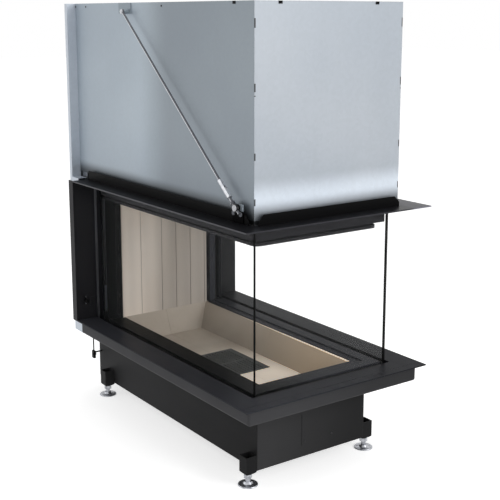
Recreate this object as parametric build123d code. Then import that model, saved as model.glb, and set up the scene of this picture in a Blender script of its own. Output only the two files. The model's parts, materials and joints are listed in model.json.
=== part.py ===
from build123d import *
import math
import os

# Fireplace insert with three-sided glass that lifts into the casing above it.
# Millimetres. X runs across the short glazed end, -Y is that end, +Y the closed rear, Z is up from the floor.

# Overall and levels
overall_depth = 1250.0
frame_width = 741.0
frame_rear_setback = 115.0
side_plate_return = 30.0
sill_level = 328.0
opening_height = 545.0
casing_height = 654.0
plate_t = 4.0
steel_t = 3.0
sheet_t = 1.5
seat_gap = 0.3

# How far a cut runs past the face that it opens
over = 1.0

# Casing and rear housing
casing_width = 579.0
casing_setback = 75.0
casing_foot = 8.0
casing_rim = 18.0
housing_width = 650.0
housing_step = 19.0
housing_side_depth = 71.0
housing_drop = 67.0
casing_rear_lift = 20.0
upstand_height = 33.0
upstand_stand_off = 11.0
upstand_end_gap = 26.0
upstand_bevel = 20.0

# Door
glass_width = 548.0
glass_t = 5.0
glass_setback = 26.0
glass_sink = 5.0
glass_head_drop = 25.0
door_travel = 500.0
door_bar_depth = 15.0
door_bar_height = 35.0
door_bar_wall = 2.0
door_bar_lap = 2.0
stile_width = 26.0
stile_wall = 3.0
stile_rear_gap = 8.0
corner_joint = 3.0
door_bar_round = 12.0
groove_outer = 12.0
groove_inner = 5.0
head_clearance = 10.0

# Guide rails, runners
rail_width = 20.0
rail_depth = 25.0
rail_wall = 2.5
rail_slot = 7.0
rail_gap = 3.0
rail_shift = 1.5
runner_clearance = 1.0
runner_height = 60.0
runner_inset = 14.0

# Lifting gear
rope_x = 240.0
rope_radius = 2.0
rope_groove_clearance = 0.4
pulley_pitch_radius = 41.5
pulley_flange = 4.5
pulley_width = 12.0
spoke_count = 5
spoke_hole_radius = 7.0
spoke_ring_radius = 24.0
pulley_drop = 51.5
pulley_side_gap = 1.0
axle_radius = 6.0
bore_clearance = 0.05
bracket_t = 3.0
bracket_half = 22.0
axle_end = 3.0
top_rail_t = 4.0
top_rail_width = 71.0
hanger_t = 6.0
hanger_inner = 225.0
rope_sleeve_radius = 4.0
rope_sleeve_length = 16.0
weight_width = 80.0
weight_t = 38.0
weight_height = 450.0
weight_drop = 86.0
weight_edge = 4.0
guide_play = 2.0
guide_t = 1.5
guide_wing = 34.0
guide_over = 10.0

# Hearth bed
bed_frame_width = 42.0
retainer_width = 28.5
retainer_groove = 3.0
retainer_lap = 3.5
trough_rim_half = 190.0
trough_slope_side = 48.0
trough_slope_end = 38.0
firebox_back_t = 3.0
trough_floor_drop = 102.0
trough_rim_drop = 7.0
trough_floor_t = 30.0
stone_rim_t = 12.0
stone_joint = 0.8
wall_setback = 47.0
wall_t = 30.0
wall_half = 196.0
wall_head_drop = 83.0
wall_joints = (-110.0, -16.0, 50.0, 117.0, 184.0)
wall_joint_gap = 1.0
wall_bevel = 1.2
grate_width = 188.0
grate_length = 256.0
grate_t = 14.0
grate_ledge = 10.0
grate_play = 1.0
grate_rib_pitch = 14.0
grate_slot_width = 7.0
grate_border = 9.0
grate_ash_slot = 24.0
pan_depth = 60.0
pan_wall = 2.0
pan_rim = 10.0
pan_play = 2.0

# Firebox rear and hood
post_width = 25.0
post_front = 13.0
post_depth = 81.0
post_gap = 1.0
header_drop = 20.0
header_head_drop = 60.0
header_t = 3.0
header_gap = 4.0
header_round = 24.0
header_lip = 10.0
hood_half = 215.0
hood_gap_front = 35.0
hood_gap_rear = 5.0
hood_box_height = 187.0
baffle_t = 25.0
baffle_rise = 60.0
baffle_ledge = 20.0
baffle_throat = 140.0
hood_taper_height = 180.0
flue_radius = 100.0
flue_wall = 2.0
flue_length = 250.0
flue_rim = 14.0
flue_flange_t = 6.0

# Base, apron, feet
base_width = 454.0
base_setback = 148.0
base_rear_setback = 12.0
base_bottom = 48.5
deck_t = 3.0
deck_drop = 16.0
base_seam_x = -48.0
base_seam_width = 5.0
base_seam_bottom = 88.5
base_seam_top = 200.0
base_screws = (-31.6, 83.7)
base_screw_z = 101.0
apron_inset = 24.0
apron_setback = 22.0
apron_height = 55.0
apron_rear_run = 8.0
apron_bend = 9.0
apron_return = 22.0
foot_tube = 40.0
foot_tube_wall = 3.0
foot_tube_height = 62.0
foot_tube_chamfer = 6.0
foot_tube_bottom = 39.0
foot_front_inset = 20.4
foot_rear_inset = 103.0
foot_disc_radius = 33.0
foot_disc_t = 4.0
foot_rim_fall = 1.5
foot_hub_flare = 4.0
foot_hub_radius = 12.0
foot_hub_height = 12.0
foot_spindle_radius = 8.0
foot_spindle_length = 58.0
foot_nut_flat = 24.0
foot_nut_height = 13.0
foot_nut_gap = 2.0
foot_hole_radius = 3.0
foot_hole_offset = 21.0
spigot_radius = 62.5
spigot_wall = 2.0
spigot_length = 36.0
spigot_flange = 10.0
spigot_flange_t = 1.5
spigot_bead = 2.0
spigot_run = 257.0

# Sill cover
cover_left = -75.0
cover_right = 85.0
cover_depth = 57.0
cover_joint = 1.0
ledge_t = 3.0
ledge_lap = 10.0

# Air control
air_axis_setback = 30.0
air_axis_z = 154.0
air_shaft_radius = 3.0
air_arm = 20.0
air_rod_radius = 2.5
air_rod_stand = 45.0
air_lift = 12.0
air_knob_inset = 40.5
air_knob_rise = 74.0
air_rod_run = 25.0
air_rod_bend = 10.0
air_clamp_height = 30.0
air_clamp_width = 18.0
air_clamp_t = 8.0
air_pin_radius = 2.5
air_pin_play = 1.2
air_slot_play = 2.0
air_side_play = 0.5
air_cover_width = 30.0
air_cover_rise = 49.0
air_cover_height = 36.0
air_knob_radius = 9.0
air_knob_length = 14.0
air_knob_gap = 1.0
air_arm_t = 4.0
air_arm_rim = 3.0
air_pin_reach = 3.0
flap_length = 150.0
flap_half = 12.0
flap_t = 2.0
flap_end_gap = 10.0

# Diagonal brace
brace_gap = 0.5
brace_stand = 5.0
brace_top_run = 739.0
brace_top_drop = 30.0
brace_foot_run = 60.0
brace_foot_rise = 47.0
brace_radius = 4.0
brace_eye_radius = 8.5
brace_eye_t = 7.0
brace_pin_radius = 4.0
brace_head_radius = 6.5
brace_head_t = 3.0
brace_foot_eye_radius = 12.0
brace_foot_head_radius = 9.5
brace_tail = 24.0
brace_nut_height = 7.0
brace_nut_back = 12.0
sleeve_foot_run = 112.0
sleeve_length = 70.0
sleeve_flat = 14.0
sleeve_window_width = 6.0
sleeve_window_length = 18.0
brace_thread_in = 24.0
brace_plate_t = 3.0
brace_plate_length = 86.0
brace_plate_height = 37.0
brace_plate_front = 16.0
brace_lug_half = 30.0
brace_lug_foot = 26.0
bolt_head_flat = 13.0
bolt_head_height = 4.0
bolt_front_run = 16.0
bolt_rear_run = 21.0
bolt_drop = 10.0

# Screws
screw_head_radius = 3.2
screw_head_height = 1.4
post_screw_rises = (361.0, 228.0, 90.0)
rim_screw_setbacks = (5.0, 88.0, 636.0)
rim_screw_drop = 12.0
clip_width = 14.0
clip_height = 9.0
clip_t = 1.5
front_clips = (-197.0, 180.0)
side_clip_run = 102.0
cross_bar_width = 30.0
cross_bar_runs = (370.0, 720.0)

# Places worked out from the sizes above
front_y = -overall_depth / 2
rear_y = overall_depth / 2
frame_half = frame_width / 2
frame_rear_y = rear_y - frame_rear_setback
head_level = sill_level + opening_height
deck_level = sill_level - deck_drop
header_level = head_level - header_head_drop
trough_floor_level = sill_level - trough_floor_drop
trough_rim_level = sill_level - trough_rim_drop
wall_top = head_level - wall_head_drop
wall_face_y = frame_rear_y - wall_setback
casing_top = head_level + casing_height
casing_half = casing_width / 2
casing_front_y = front_y + casing_setback
casing_rear_y = rear_y - housing_step
housing_half = housing_width / 2
housing_front_y = rear_y - housing_side_depth
glass_half = glass_width / 2
glass_front_y = casing_front_y + glass_setback
glass_back_y = glass_front_y + glass_t
glass_inner_half = glass_half - glass_t
glass_bottom = sill_level - glass_sink
glass_top = head_level - glass_head_drop
stile_rear_y = frame_rear_y - stile_rear_gap
stile_front_y = stile_rear_y - stile_width
stile_outer = glass_half + stile_wall
stile_inner = glass_inner_half - stile_wall
door_bar_half = glass_inner_half - door_bar_depth
door_bar_top = glass_top + door_bar_lap
door_bar_bottom = door_bar_top - door_bar_height
sill_bottom = sill_level - plate_t
housing_bottom = sill_bottom - housing_drop
sill_inner_half = glass_half + groove_outer
sill_inner_y = glass_front_y - groove_outer
head_inner_half = glass_half + head_clearance
head_inner_y = glass_front_y - head_clearance
bed_half = glass_inner_half - groove_inner
bed_front_y = glass_back_y + groove_inner
bed_inner_half = bed_half - bed_frame_width
bed_inner_y = bed_front_y + bed_frame_width
retainer_half = bed_inner_half - retainer_width
retainer_y = bed_inner_y + retainer_width
stone_half = trough_rim_half + stone_rim_t
trough_front_y = retainer_y + retainer_lap
stone_front_y = trough_front_y - stone_rim_t
stone_rear_y = wall_face_y + wall_t
trough_mid_y = (trough_front_y + wall_face_y) / 2
stone_bottom = trough_floor_level - trough_floor_t
post_inner = stone_half + post_gap
post_outer = post_inner + post_width
post_front_y = wall_face_y - post_front
post_rear_y = post_front_y + post_depth
base_half = base_width / 2
base_front_y = front_y + base_setback
base_rear_y = rear_y - base_rear_setback
base_top = deck_level - deck_t
apron_half = frame_half - apron_inset
apron_front_y = front_y + apron_setback
apron_bottom = sill_bottom - apron_height
apron_rear_y = frame_rear_y + apron_rear_run
foot_x = base_half + foot_tube / 2
foot_front_y = base_front_y + foot_front_inset
foot_rear_y = base_rear_y - foot_rear_inset
spigot_y = base_front_y + spigot_run
rail_mid_x = (stile_inner + stile_outer) / 2 + rail_shift
rail_inner_x = rail_mid_x - rail_width / 2
rail_outer_x = rail_mid_x + rail_width / 2
rail_front_y = stile_rear_y + rail_gap
top_rail_bottom = casing_top - sheet_t - top_rail_t
rope_front_y = stile_rear_y - stile_width / 2
pulley_y = rope_front_y + pulley_pitch_radius
pulley_z = top_rail_bottom - pulley_drop
rope_rear_y = pulley_y + pulley_pitch_radius
hanger_top = door_bar_top + hanger_t
weight_top = pulley_z - weight_drop
header_outer = door_bar_half - header_gap
header_front_y = glass_back_y + door_bar_depth + header_gap
header_inner_y = header_front_y + header_outer - post_outer
header_bottom = header_level - header_drop
hood_front_y = header_front_y + hood_gap_front
hood_rear_y = wall_face_y - hood_gap_rear
hood_flange_top = header_level + steel_t
hood_box_top = header_level + hood_box_height
hood_top = hood_box_top + hood_taper_height
flue_top = hood_top + flue_length
hood_mid_y = (hood_front_y + hood_rear_y) / 2
upstand_inner = casing_half + upstand_stand_off
upstand_outer = upstand_inner + steel_t
air_axis_y = rear_y - air_axis_setback
air_rod_x = -base_half - air_rod_stand
air_rod_front_y = frame_rear_y + air_rod_run
air_knob_x = air_knob_inset - frame_half
air_knob_z = sill_level + air_knob_rise
brace_top_y = casing_front_y + brace_top_run
brace_top_z = casing_top - brace_top_drop
brace_foot_y = casing_front_y + brace_foot_run
brace_foot_z = head_level + brace_foot_rise
brace_x = upstand_outer + brace_plate_t + brace_stand + brace_eye_t / 2


def slab(x0, x1, y0, y1, z0, z1):
    """A box between two opposite corners."""
    size = Box(abs(x1 - x0), abs(y1 - y0), abs(z1 - z0))
    return Pos((x0 + x1) / 2, (y0 + y1) / 2, (z0 + z1) / 2) * size


def mirrored(shape):
    """The shape's mirror image across the middle plane."""
    return mirror(shape, about=Plane.YZ)


def both_sides(shape):
    """The shape and its mirror image."""
    return [shape, mirrored(shape)]


def rod_x(x0, x1, y, z, radius):
    """A round bar along X."""
    return Pos((x0 + x1) / 2, y, z) * Rot(0, 90, 0) * Cylinder(radius, abs(x1 - x0))


def rod_y(x, y0, y1, z, radius):
    """A round bar along Y."""
    return Pos(x, (y0 + y1) / 2, z) * Rot(90, 0, 0) * Cylinder(radius, abs(y1 - y0))


def rod_z(x, y, z0, z1, radius):
    """A round bar along Z."""
    return Pos(x, y, (z0 + z1) / 2) * Cylinder(radius, abs(z1 - z0))


def hex_bar(flat, length):
    """A hexagonal bar that rises from the origin, measured across its flats."""
    return extrude(RegularPolygon(flat / 2, 6, major_radius=False), amount=length)


def corner_edges(shape, radius, y_below):
    """The shape with its upright edges in front of a given depth rounded."""
    edges = [e for e in shape.edges().filter_by(Axis.Z) if e.center().Y < y_below]
    return fillet(edges, radius)


def u_block(half, front, rear, z0, z1, radius=0.0):
    """A block that reaches from a front face to the rear, with its two front corners rounded."""
    block = slab(-half, half, front, rear, z0, z1)
    if radius > 0:
        block = corner_edges(block, radius, front + radius)
    return block


def tray_block(half, front, rear, low, high, radius):
    """A block rounded down its two front corners and around the foot of its front and sides."""
    block = u_block(half, front, rear, low, high, radius)
    tiny = 0.01
    foot = [e for e in block.edges() if e.center().Z < low + tiny and e.center().Y < rear - tiny]
    return fillet(foot, radius)


def sheet_ring(outer, front, rear, inner, front_in, rear_in, z0, z1):
    """A rectangular ring as four sheets: front and rear across the whole width, and the sides between them."""
    ring = [slab(-outer, outer, front, front_in, z0, z1), slab(-outer, outer, rear_in, rear, z0, z1)]
    return ring + both_sides(slab(inner, outer, front_in, rear_in, z0, z1))


def mitred_ring(half_x, half_y, wall):
    """The outlines of a rectangular ring's four sides, mitred at its corners."""
    outer = [(-half_x, -half_y), (half_x, -half_y), (half_x, half_y), (-half_x, half_y)]
    inner = [(math.copysign(half_x - wall, x), math.copysign(half_y - wall, y)) for x, y in outer]
    return [(outer[i - 1], outer[i], inner[i], inner[i - 1]) for i in range(4)]


def u_band(outer, inner, front, front_in, rear, z0, z1, round_out=0.0, round_in=0.0):
    """A band round three sides of the hearth, open at the rear."""
    band = u_block(outer, front, rear, z0, z1, round_out)
    return band - u_block(inner, front_in, rear + over, z0 - over, z1 + over, round_in)


def base_nodes():
    """The lower box that carries the hearth, with its feet tubes and air spigot."""
    inner = base_half - steel_t
    front_in = base_front_y + steel_t
    rear_in = base_rear_y - steel_t
    floor_top = base_bottom + steel_t
    hole = spigot_radius + seat_gap
    floor = slab(-inner, inner, front_in, rear_in, base_bottom, floor_top)
    floor -= rod_z(0, spigot_y, base_bottom - over, floor_top + over, hole)
    side = slab(inner, base_half, base_front_y, base_rear_y, base_bottom, base_top)
    left = mirrored(side) - rod_x(-base_half - over, -inner + over, air_axis_y, air_axis_z,
                                  air_shaft_radius + bore_clearance)
    rear = slab(-inner, inner, rear_in, base_rear_y, base_bottom, base_top)
    cover = slab(-inner, inner, housing_front_y, rear_in, base_top - steel_t, base_top)
    front = slab(-inner, inner, base_front_y, front_in, base_bottom, base_top)
    seam = slab(base_seam_x, base_seam_x + base_seam_width, base_front_y - over, base_front_y + steel_t / 2,
                base_seam_bottom, base_seam_top)
    screws = [rod_y(x, base_front_y - screw_head_height, base_front_y, base_screw_z, screw_head_radius)
              for x in base_screws]
    pan_x = grate_width / 2 - grate_ledge - pan_play - pan_rim
    pan_y = grate_length / 2 - grate_ledge - pan_play - pan_rim
    bed = slab(-inner, inner, front_in, rear_in, stone_bottom - steel_t, stone_bottom)
    bed -= slab(-pan_x, pan_x, trough_mid_y - pan_y, trough_mid_y + pan_y,
                stone_bottom - steel_t - over, stone_bottom + over)
    spigot = rod_z(0, spigot_y, floor_top - spigot_length, floor_top, spigot_radius)
    spigot += rod_z(0, spigot_y, floor_top, floor_top + spigot_flange_t, spigot_radius + spigot_flange)
    spigot += rod_z(0, spigot_y, base_bottom - spigot_bead, base_bottom, spigot_radius + spigot_bead)
    spigot -= rod_z(0, spigot_y, 0, base_top, spigot_radius - spigot_wall)
    tubes = [foot_tube_at(sx * foot_x, y) for sx in (-1, 1) for y in (foot_front_y, foot_rear_y)]
    return {
        "base_shell": [floor, left, side, rear, cover],
        "base_front_panel": [front - seam],
        "small_screws": screws,
        "bed_plate": [bed],
        "air_inlet_spigot": [spigot],
        "foot_tubes": tubes,
    }


def foot_tube_at(x, y):
    """An open-topped square tube with a bored, chamfered foot."""
    half = foot_tube / 2
    hollow = half - foot_tube_wall
    top = foot_tube_bottom + foot_tube_height
    tube = slab(x - half, x + half, y - half, y + half, foot_tube_bottom, top)
    tube = chamfer(tube.faces().sort_by(Axis.Z)[0].edges(), foot_tube_chamfer)
    floor = foot_tube_bottom + foot_tube_chamfer + plate_t
    tube -= slab(x - hollow, x + hollow, y - hollow, y + hollow, floor, top + over)
    return tube - rod_z(x, y, 0, top, foot_spindle_radius + bore_clearance)


def foot_at(x, y, turn):
    """A levelling foot: floor disc with a fixing hole, hub and spindle, and its lock nut."""
    profile = Polyline(
        (0, 0), (foot_disc_radius, 0), (foot_disc_radius, foot_disc_t / 2),
        (foot_disc_radius - foot_rim_fall, foot_disc_t),
        (foot_hub_radius + foot_hub_flare, foot_disc_t + foot_rim_fall),
        (foot_hub_radius, foot_hub_height), (foot_spindle_radius, foot_hub_height),
        (foot_spindle_radius, foot_hub_height + foot_spindle_length),
        (0, foot_hub_height + foot_spindle_length), close=True,
    )
    body = revolve(Plane.XZ * make_face(profile), axis=Axis.Z)
    body -= rod_z(foot_hole_offset, 0, -over, foot_hub_height, foot_hole_radius)
    nut_top = foot_tube_bottom - foot_nut_gap
    nut = Pos(0, 0, nut_top - foot_nut_height) * hex_bar(foot_nut_flat, foot_nut_height)
    nut -= rod_z(0, 0, 0, nut_top + over, foot_spindle_radius + bore_clearance)
    place = Pos(x, y, 0) * Rot(0, 0, turn)
    return [place * body, place * nut]


def feet_nodes():
    """The four levelling feet."""
    spots = {
        "foot_front_left": (-foot_x, foot_front_y, -140.0),
        "foot_front_right": (foot_x, foot_front_y, 140.0),
        "foot_rear_left": (-foot_x, foot_rear_y, -100.0),
        "foot_rear_right": (foot_x, foot_rear_y, 60.0),
    }
    return {name: foot_at(*spot) for name, spot in spots.items()}


def frame_nodes():
    """Deck, apron, sill plate with its cover, head plate and the upright plates behind the glass."""
    apron_in = apron_half - steel_t
    apron_front_in = apron_front_y + steel_t
    hole_half = stone_half + seat_gap
    deck = u_block(apron_in, apron_front_in, housing_front_y, base_top, deck_level, apron_bend - steel_t)
    deck -= slab(-hole_half, hole_half, stone_front_y - seat_gap, stone_rear_y + seat_gap,
                 base_top - over, deck_level + over)
    apron = tray_block(apron_half, apron_front_y, apron_rear_y, apron_bottom, sill_bottom, apron_bend)
    room = tray_block(apron_in, apron_front_in, apron_rear_y + over, apron_bottom + steel_t, sill_bottom + over,
                      apron_bend - steel_t)
    gap = apron_half - apron_return
    apron = apron - room - slab(-gap, gap, apron_front_y + apron_return, apron_rear_y + over,
                                apron_bottom - over, apron_bottom + 2 * steel_t)

    sill = u_band(frame_half, sill_inner_half, front_y, sill_inner_y, frame_rear_y, sill_bottom, sill_level)
    lip_half = sill_inner_half + steel_t
    lip_y = sill_inner_y - steel_t
    sill += u_band(lip_half, sill_inner_half, lip_y, sill_inner_y, frame_rear_y, deck_level, sill_bottom)
    pocket_y = sill_inner_y - cover_depth
    sill += slab(cover_left - ledge_lap, cover_right + ledge_lap, apron_front_in, lip_y,
                 sill_bottom - ledge_t, sill_bottom)
    sill -= slab(cover_left, cover_right, pocket_y, sill_inner_y + over, sill_bottom, sill_level + over)
    sill -= slab(-frame_half - over, frame_half + over, pocket_y - cover_joint, pocket_y,
                 sill_level - cover_joint, sill_level + over)
    cover = slab(cover_left + cover_joint, cover_right - cover_joint, pocket_y + cover_joint, sill_inner_y,
                 sill_bottom, sill_level)

    plate_rear = frame_rear_y + plate_t
    side_plate = slab(rail_outer_x, frame_half, frame_rear_y, plate_rear, sill_bottom, head_level)
    side_plate += slab(frame_half - steel_t, frame_half, plate_rear, plate_rear + side_plate_return,
                       sill_bottom, head_level)
    left_plate = mirrored(side_plate)
    slot_half = air_lift + air_rod_radius + air_slot_play
    slot_x = air_rod_radius + air_side_play
    left_plate -= slab(air_knob_x - slot_x, air_knob_x + slot_x, frame_rear_y - over, plate_rear + over,
                       air_knob_z - slot_half, air_knob_z + slot_half)
    hatch_low = sill_level + air_cover_rise
    hatch = slab(-rail_outer_x - air_cover_width, -rail_outer_x, frame_rear_y - sheet_t, frame_rear_y,
                 hatch_low, hatch_low + air_cover_height)
    head = u_band(frame_half, head_inner_half, front_y, head_inner_y, frame_rear_y,
                  head_level - plate_t, head_level)
    return {
        "deck_plate": [deck],
        "apron": [apron],
        "sill_plate": [sill],
        "sill_cover": [cover],
        "side_plates": [left_plate, side_plate, hatch],
        "head_plate": [head],
    }


def upstand_nodes():
    """Thin upright strips on the head plate that hold the foot of the casing."""
    top = head_level + upstand_height
    front_half = casing_half - upstand_end_gap
    low = top - upstand_bevel
    y0 = casing_front_y - upstand_stand_off
    profile = Polygon((-front_half - upstand_bevel, head_level), (front_half + upstand_bevel, head_level),
                      (front_half + upstand_bevel, low), (front_half, top), (-front_half, top),
                      (-front_half - upstand_bevel, low), align=None)
    front = Pos(0, y0, 0) * extrude(Plane.XZ * profile, amount=steel_t)
    side_front = casing_front_y + upstand_stand_off
    side_profile = Polygon((side_front, head_level), (frame_rear_y, head_level), (frame_rear_y, top),
                           (side_front + upstand_bevel, top), (side_front, low), align=None)
    right = Pos(upstand_inner, 0, 0) * extrude(Plane.YZ * side_profile, amount=steel_t)
    return {"upstands": [front] + both_sides(right)}


def hearth_nodes():
    """Bed frame, retainer, four trough stones, back wall, grate and ash pan."""
    rear = post_front_y - seat_gap
    bed = u_band(bed_half, bed_inner_half, bed_front_y, bed_inner_y, rear, deck_level, sill_level)
    bed -= u_band(bed_half - steel_t, bed_inner_half + steel_t, bed_front_y + steel_t, bed_inner_y - steel_t,
                  rear + over, deck_level - over, sill_level - steel_t)
    edge = bed_inner_half - retainer_groove
    edge_y = bed_inner_y + retainer_groove
    retainer = u_band(edge, retainer_half, edge_y, retainer_y, rear, trough_rim_level, trough_rim_level + steel_t)
    retainer += u_band(edge, edge - steel_t, edge_y, edge_y + steel_t, rear, deck_level, trough_rim_level)

    block = slab(-stone_half, stone_half, stone_front_y, stone_rear_y, stone_bottom, trough_rim_level)
    rim = Pos(0, trough_mid_y, trough_rim_level) * Rectangle(2 * trough_rim_half, wall_face_y - trough_front_y)
    floor_half = trough_rim_half - trough_slope_side
    floor_long = wall_face_y - trough_front_y - 2 * trough_slope_end
    floor = Pos(0, trough_mid_y, trough_floor_level) * Rectangle(2 * floor_half, floor_long)
    block -= loft([floor, rim])
    half_x = grate_width / 2 + grate_play
    half_y = grate_length / 2 + grate_play
    seat_z = trough_floor_level - grate_t
    block -= slab(-half_x, half_x, trough_mid_y - half_y, trough_mid_y + half_y, seat_z, trough_floor_level + over)
    hole_x = grate_width / 2 - grate_ledge
    hole_y = grate_length / 2 - grate_ledge
    block -= slab(-hole_x, hole_x, trough_mid_y - hole_y, trough_mid_y + hole_y,
                  stone_bottom - over, trough_floor_level)
    joint = stone_joint / 2
    stones = {}
    for name, sx, sy in (("front", -1, -1), ("front", 1, -1), ("rear", -1, 1), ("rear", 1, 1)):
        x_far = sx * (stone_half + over)
        y_far = stone_front_y - over if sy < 0 else stone_rear_y + over
        keep = slab(sx * joint, x_far, trough_mid_y + sy * joint, y_far, stone_bottom - over,
                    trough_rim_level + over)
        stones.setdefault("trough_stones_" + name, []).append(block & keep)

    boards = []
    edges = (-wall_half,) + wall_joints + (wall_half,)
    for x0, x1 in zip(edges[:-1], edges[1:]):
        board = slab(x0 + wall_joint_gap / 2, x1 - wall_joint_gap / 2, wall_face_y, stone_rear_y,
                     trough_rim_level, wall_top)
        front_edges = [e for e in board.edges().filter_by(Axis.Z) if e.center().Y < wall_face_y + over]
        boards.append(chamfer(front_edges, wall_bevel))

    grate = slab(-grate_width / 2, grate_width / 2, trough_mid_y - grate_length / 2,
                 trough_mid_y + grate_length / 2, seat_z, trough_floor_level)
    rib_span = grate_length / 2 - grate_border
    grate -= slab(-hole_x, -hole_x + grate_ash_slot, trough_mid_y - rib_span, trough_mid_y + rib_span,
                  seat_z - over, trough_floor_level + over)
    rib_start = -hole_x + grate_ash_slot + grate_border
    slots = int((grate_width / 2 - grate_border - rib_start) // grate_rib_pitch)
    for i in range(slots):
        x = rib_start + (i + 0.5) * grate_rib_pitch
        for y0, y1 in ((-rib_span, -grate_border / 2), (grate_border / 2, rib_span)):
            grate -= slab(x - grate_slot_width / 2, x + grate_slot_width / 2, trough_mid_y + y0,
                          trough_mid_y + y1, seat_z - over, trough_floor_level + over)

    rim_x = hole_x - pan_play
    rim_y = hole_y - pan_play
    body_x = rim_x - pan_rim - seat_gap
    body_y = rim_y - pan_rim - seat_gap
    pan = slab(-rim_x, rim_x, trough_mid_y - rim_y, trough_mid_y + rim_y, stone_bottom, stone_bottom + pan_wall)
    pan += slab(-body_x, body_x, trough_mid_y - body_y, trough_mid_y + body_y,
                stone_bottom - pan_depth, stone_bottom)
    pan -= slab(-body_x + pan_wall, body_x - pan_wall, trough_mid_y - body_y + pan_wall,
                trough_mid_y + body_y - pan_wall, stone_bottom - pan_depth + pan_wall, stone_bottom + 2 * pan_wall)
    nodes = {
        "bed_frame": [bed],
        "stone_retainer": [retainer],
        "back_wall_boards": boards,
        "grate": [grate],
        "ash_pan": [pan],
    }
    nodes.update(stones)
    return nodes


def firebox_nodes():
    """Jamb posts, header, back plate, hood with baffle and flue collar."""
    post = slab(post_inner, post_outer, post_front_y, post_rear_y, deck_level, header_level)
    post -= slab(post_inner + steel_t, post_outer - steel_t, post_front_y + steel_t, post_rear_y + over,
                 deck_level - over, header_level + over)
    screws = [rod_y(sx * (post_inner + post_outer) / 2, post_front_y - screw_head_height, post_front_y,
                    sill_level + rise, screw_head_radius) for sx in (-1, 1) for rise in post_screw_rises]
    lip_top = header_bottom + header_lip
    wall_half_x = post_outer + header_t
    wall_front_y = header_inner_y - header_t
    header = u_band(header_outer, post_outer, header_front_y, header_inner_y, post_rear_y,
                    header_bottom, lip_top, header_round)
    header -= u_band(header_outer - header_t, wall_half_x, header_front_y + header_t, wall_front_y,
                     post_rear_y - header_t, header_bottom + header_t, lip_top + over, header_round - header_t)
    header += u_band(wall_half_x, post_outer, wall_front_y, header_inner_y, post_rear_y, lip_top, header_level)
    back = slab(-post_inner, post_inner, stone_rear_y, stone_rear_y + firebox_back_t, deck_level, header_level)

    wall = steel_t
    flange = sheet_ring(wall_half_x, wall_front_y, stone_rear_y + firebox_back_t, hood_half - wall,
                        hood_front_y + wall, hood_rear_y - wall, header_level, hood_flange_top)
    box = sheet_ring(hood_half, hood_front_y, hood_rear_y, hood_half - wall, hood_front_y + wall,
                     hood_rear_y - wall, hood_flange_top, hood_box_top)
    low_ring = mitred_ring(hood_half, (hood_rear_y - hood_front_y) / 2, wall)
    high_ring = mitred_ring(flue_radius, flue_radius, wall)
    taper = []
    for low, high in zip(low_ring, high_ring):
        foot = Pos(0, hood_mid_y, hood_box_top) * make_face(Polyline(*low, close=True))
        head = Pos(0, hood_mid_y, hood_top) * make_face(Polyline(*high, close=True))
        taper.append(loft([foot, head]))
    rest_z = header_level + baffle_rise
    rests = both_sides(slab(hood_half - wall - baffle_ledge, hood_half - wall, hood_front_y + baffle_throat,
                            hood_rear_y - wall, rest_z - wall, rest_z))
    baffle = slab(-hood_half + wall + over, hood_half - wall - over, hood_front_y + baffle_throat,
                  hood_rear_y - wall - over, rest_z, rest_z + baffle_t)
    edge = flue_radius + flue_rim
    collar = rod_z(0, hood_mid_y, hood_top, flue_top, flue_radius)
    collar += slab(-edge, edge, hood_mid_y - edge, hood_mid_y + edge, hood_top, hood_top + flue_flange_t)
    collar -= rod_z(0, hood_mid_y, hood_top - over, flue_top + over, flue_radius - flue_wall)
    return {
        "jamb_posts": both_sides(post),
        "small_screws": screws,
        "header_frame": [header],
        "firebox_back": [back],
        "hood": flange + box + taper + rests,
        "baffle_board": [baffle],
        "flue_collar": [collar],
    }


def door_nodes():
    """The lifting door: three panes, corner seals, upper frame, rear stiles, hangers and runners."""
    pane_rear_y = stile_rear_y - stile_wall
    front_half = glass_inner_half - corner_joint
    front = slab(-front_half, front_half, glass_front_y, glass_back_y, glass_bottom, glass_top)
    seal = slab(front_half, glass_inner_half, glass_front_y, glass_back_y, glass_bottom, glass_top)
    side = slab(glass_inner_half, glass_half, glass_front_y, pane_rear_y, glass_bottom, glass_top)
    top = u_band(glass_inner_half, door_bar_half, glass_back_y, glass_back_y + door_bar_depth, stile_front_y,
                 door_bar_bottom, door_bar_top, door_bar_round)
    hollow = door_bar_wall
    top -= u_band(glass_inner_half - hollow, door_bar_half + hollow, glass_back_y + hollow,
                  glass_back_y + door_bar_depth - hollow, stile_front_y - hollow, door_bar_bottom + hollow,
                  door_bar_top - hollow, door_bar_round - hollow)
    stile = slab(stile_inner, stile_outer, stile_front_y, stile_rear_y, glass_bottom, door_bar_top)
    stile -= slab(glass_inner_half, glass_half, stile_front_y - over, pane_rear_y, glass_bottom - over, glass_top)
    hanger = slab(hanger_inner, stile_outer, stile_front_y, stile_rear_y, door_bar_top, hanger_top)
    hanger += rod_z(rope_x, rope_front_y, hanger_top, hanger_top + rope_sleeve_length, rope_sleeve_radius)
    neck_half = rail_slot / 2 - runner_clearance
    block_half = rail_width / 2 - rail_wall - runner_clearance
    block_front = rail_front_y + rail_wall + runner_clearance
    block_rear = rail_front_y + rail_depth - rail_wall - runner_clearance
    runners = []
    for z0 in (glass_bottom + runner_inset, glass_top - runner_inset - runner_height):
        z1 = z0 + runner_height
        runner = slab(rail_mid_x - neck_half, rail_mid_x + neck_half, stile_rear_y, block_front, z0, z1)
        runner += slab(rail_mid_x - block_half, rail_mid_x + block_half, block_front, block_rear, z0, z1)
        runners += both_sides(runner)
    return {
        "glass_front": [front],
        "glass_sides": both_sides(side),
        "glass_corner_seals": both_sides(seal),
        "door_top_frame": [top],
        "door_stiles": both_sides(stile),
        "door_hangers": both_sides(hanger),
        "door_runners": runners,
    }


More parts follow.
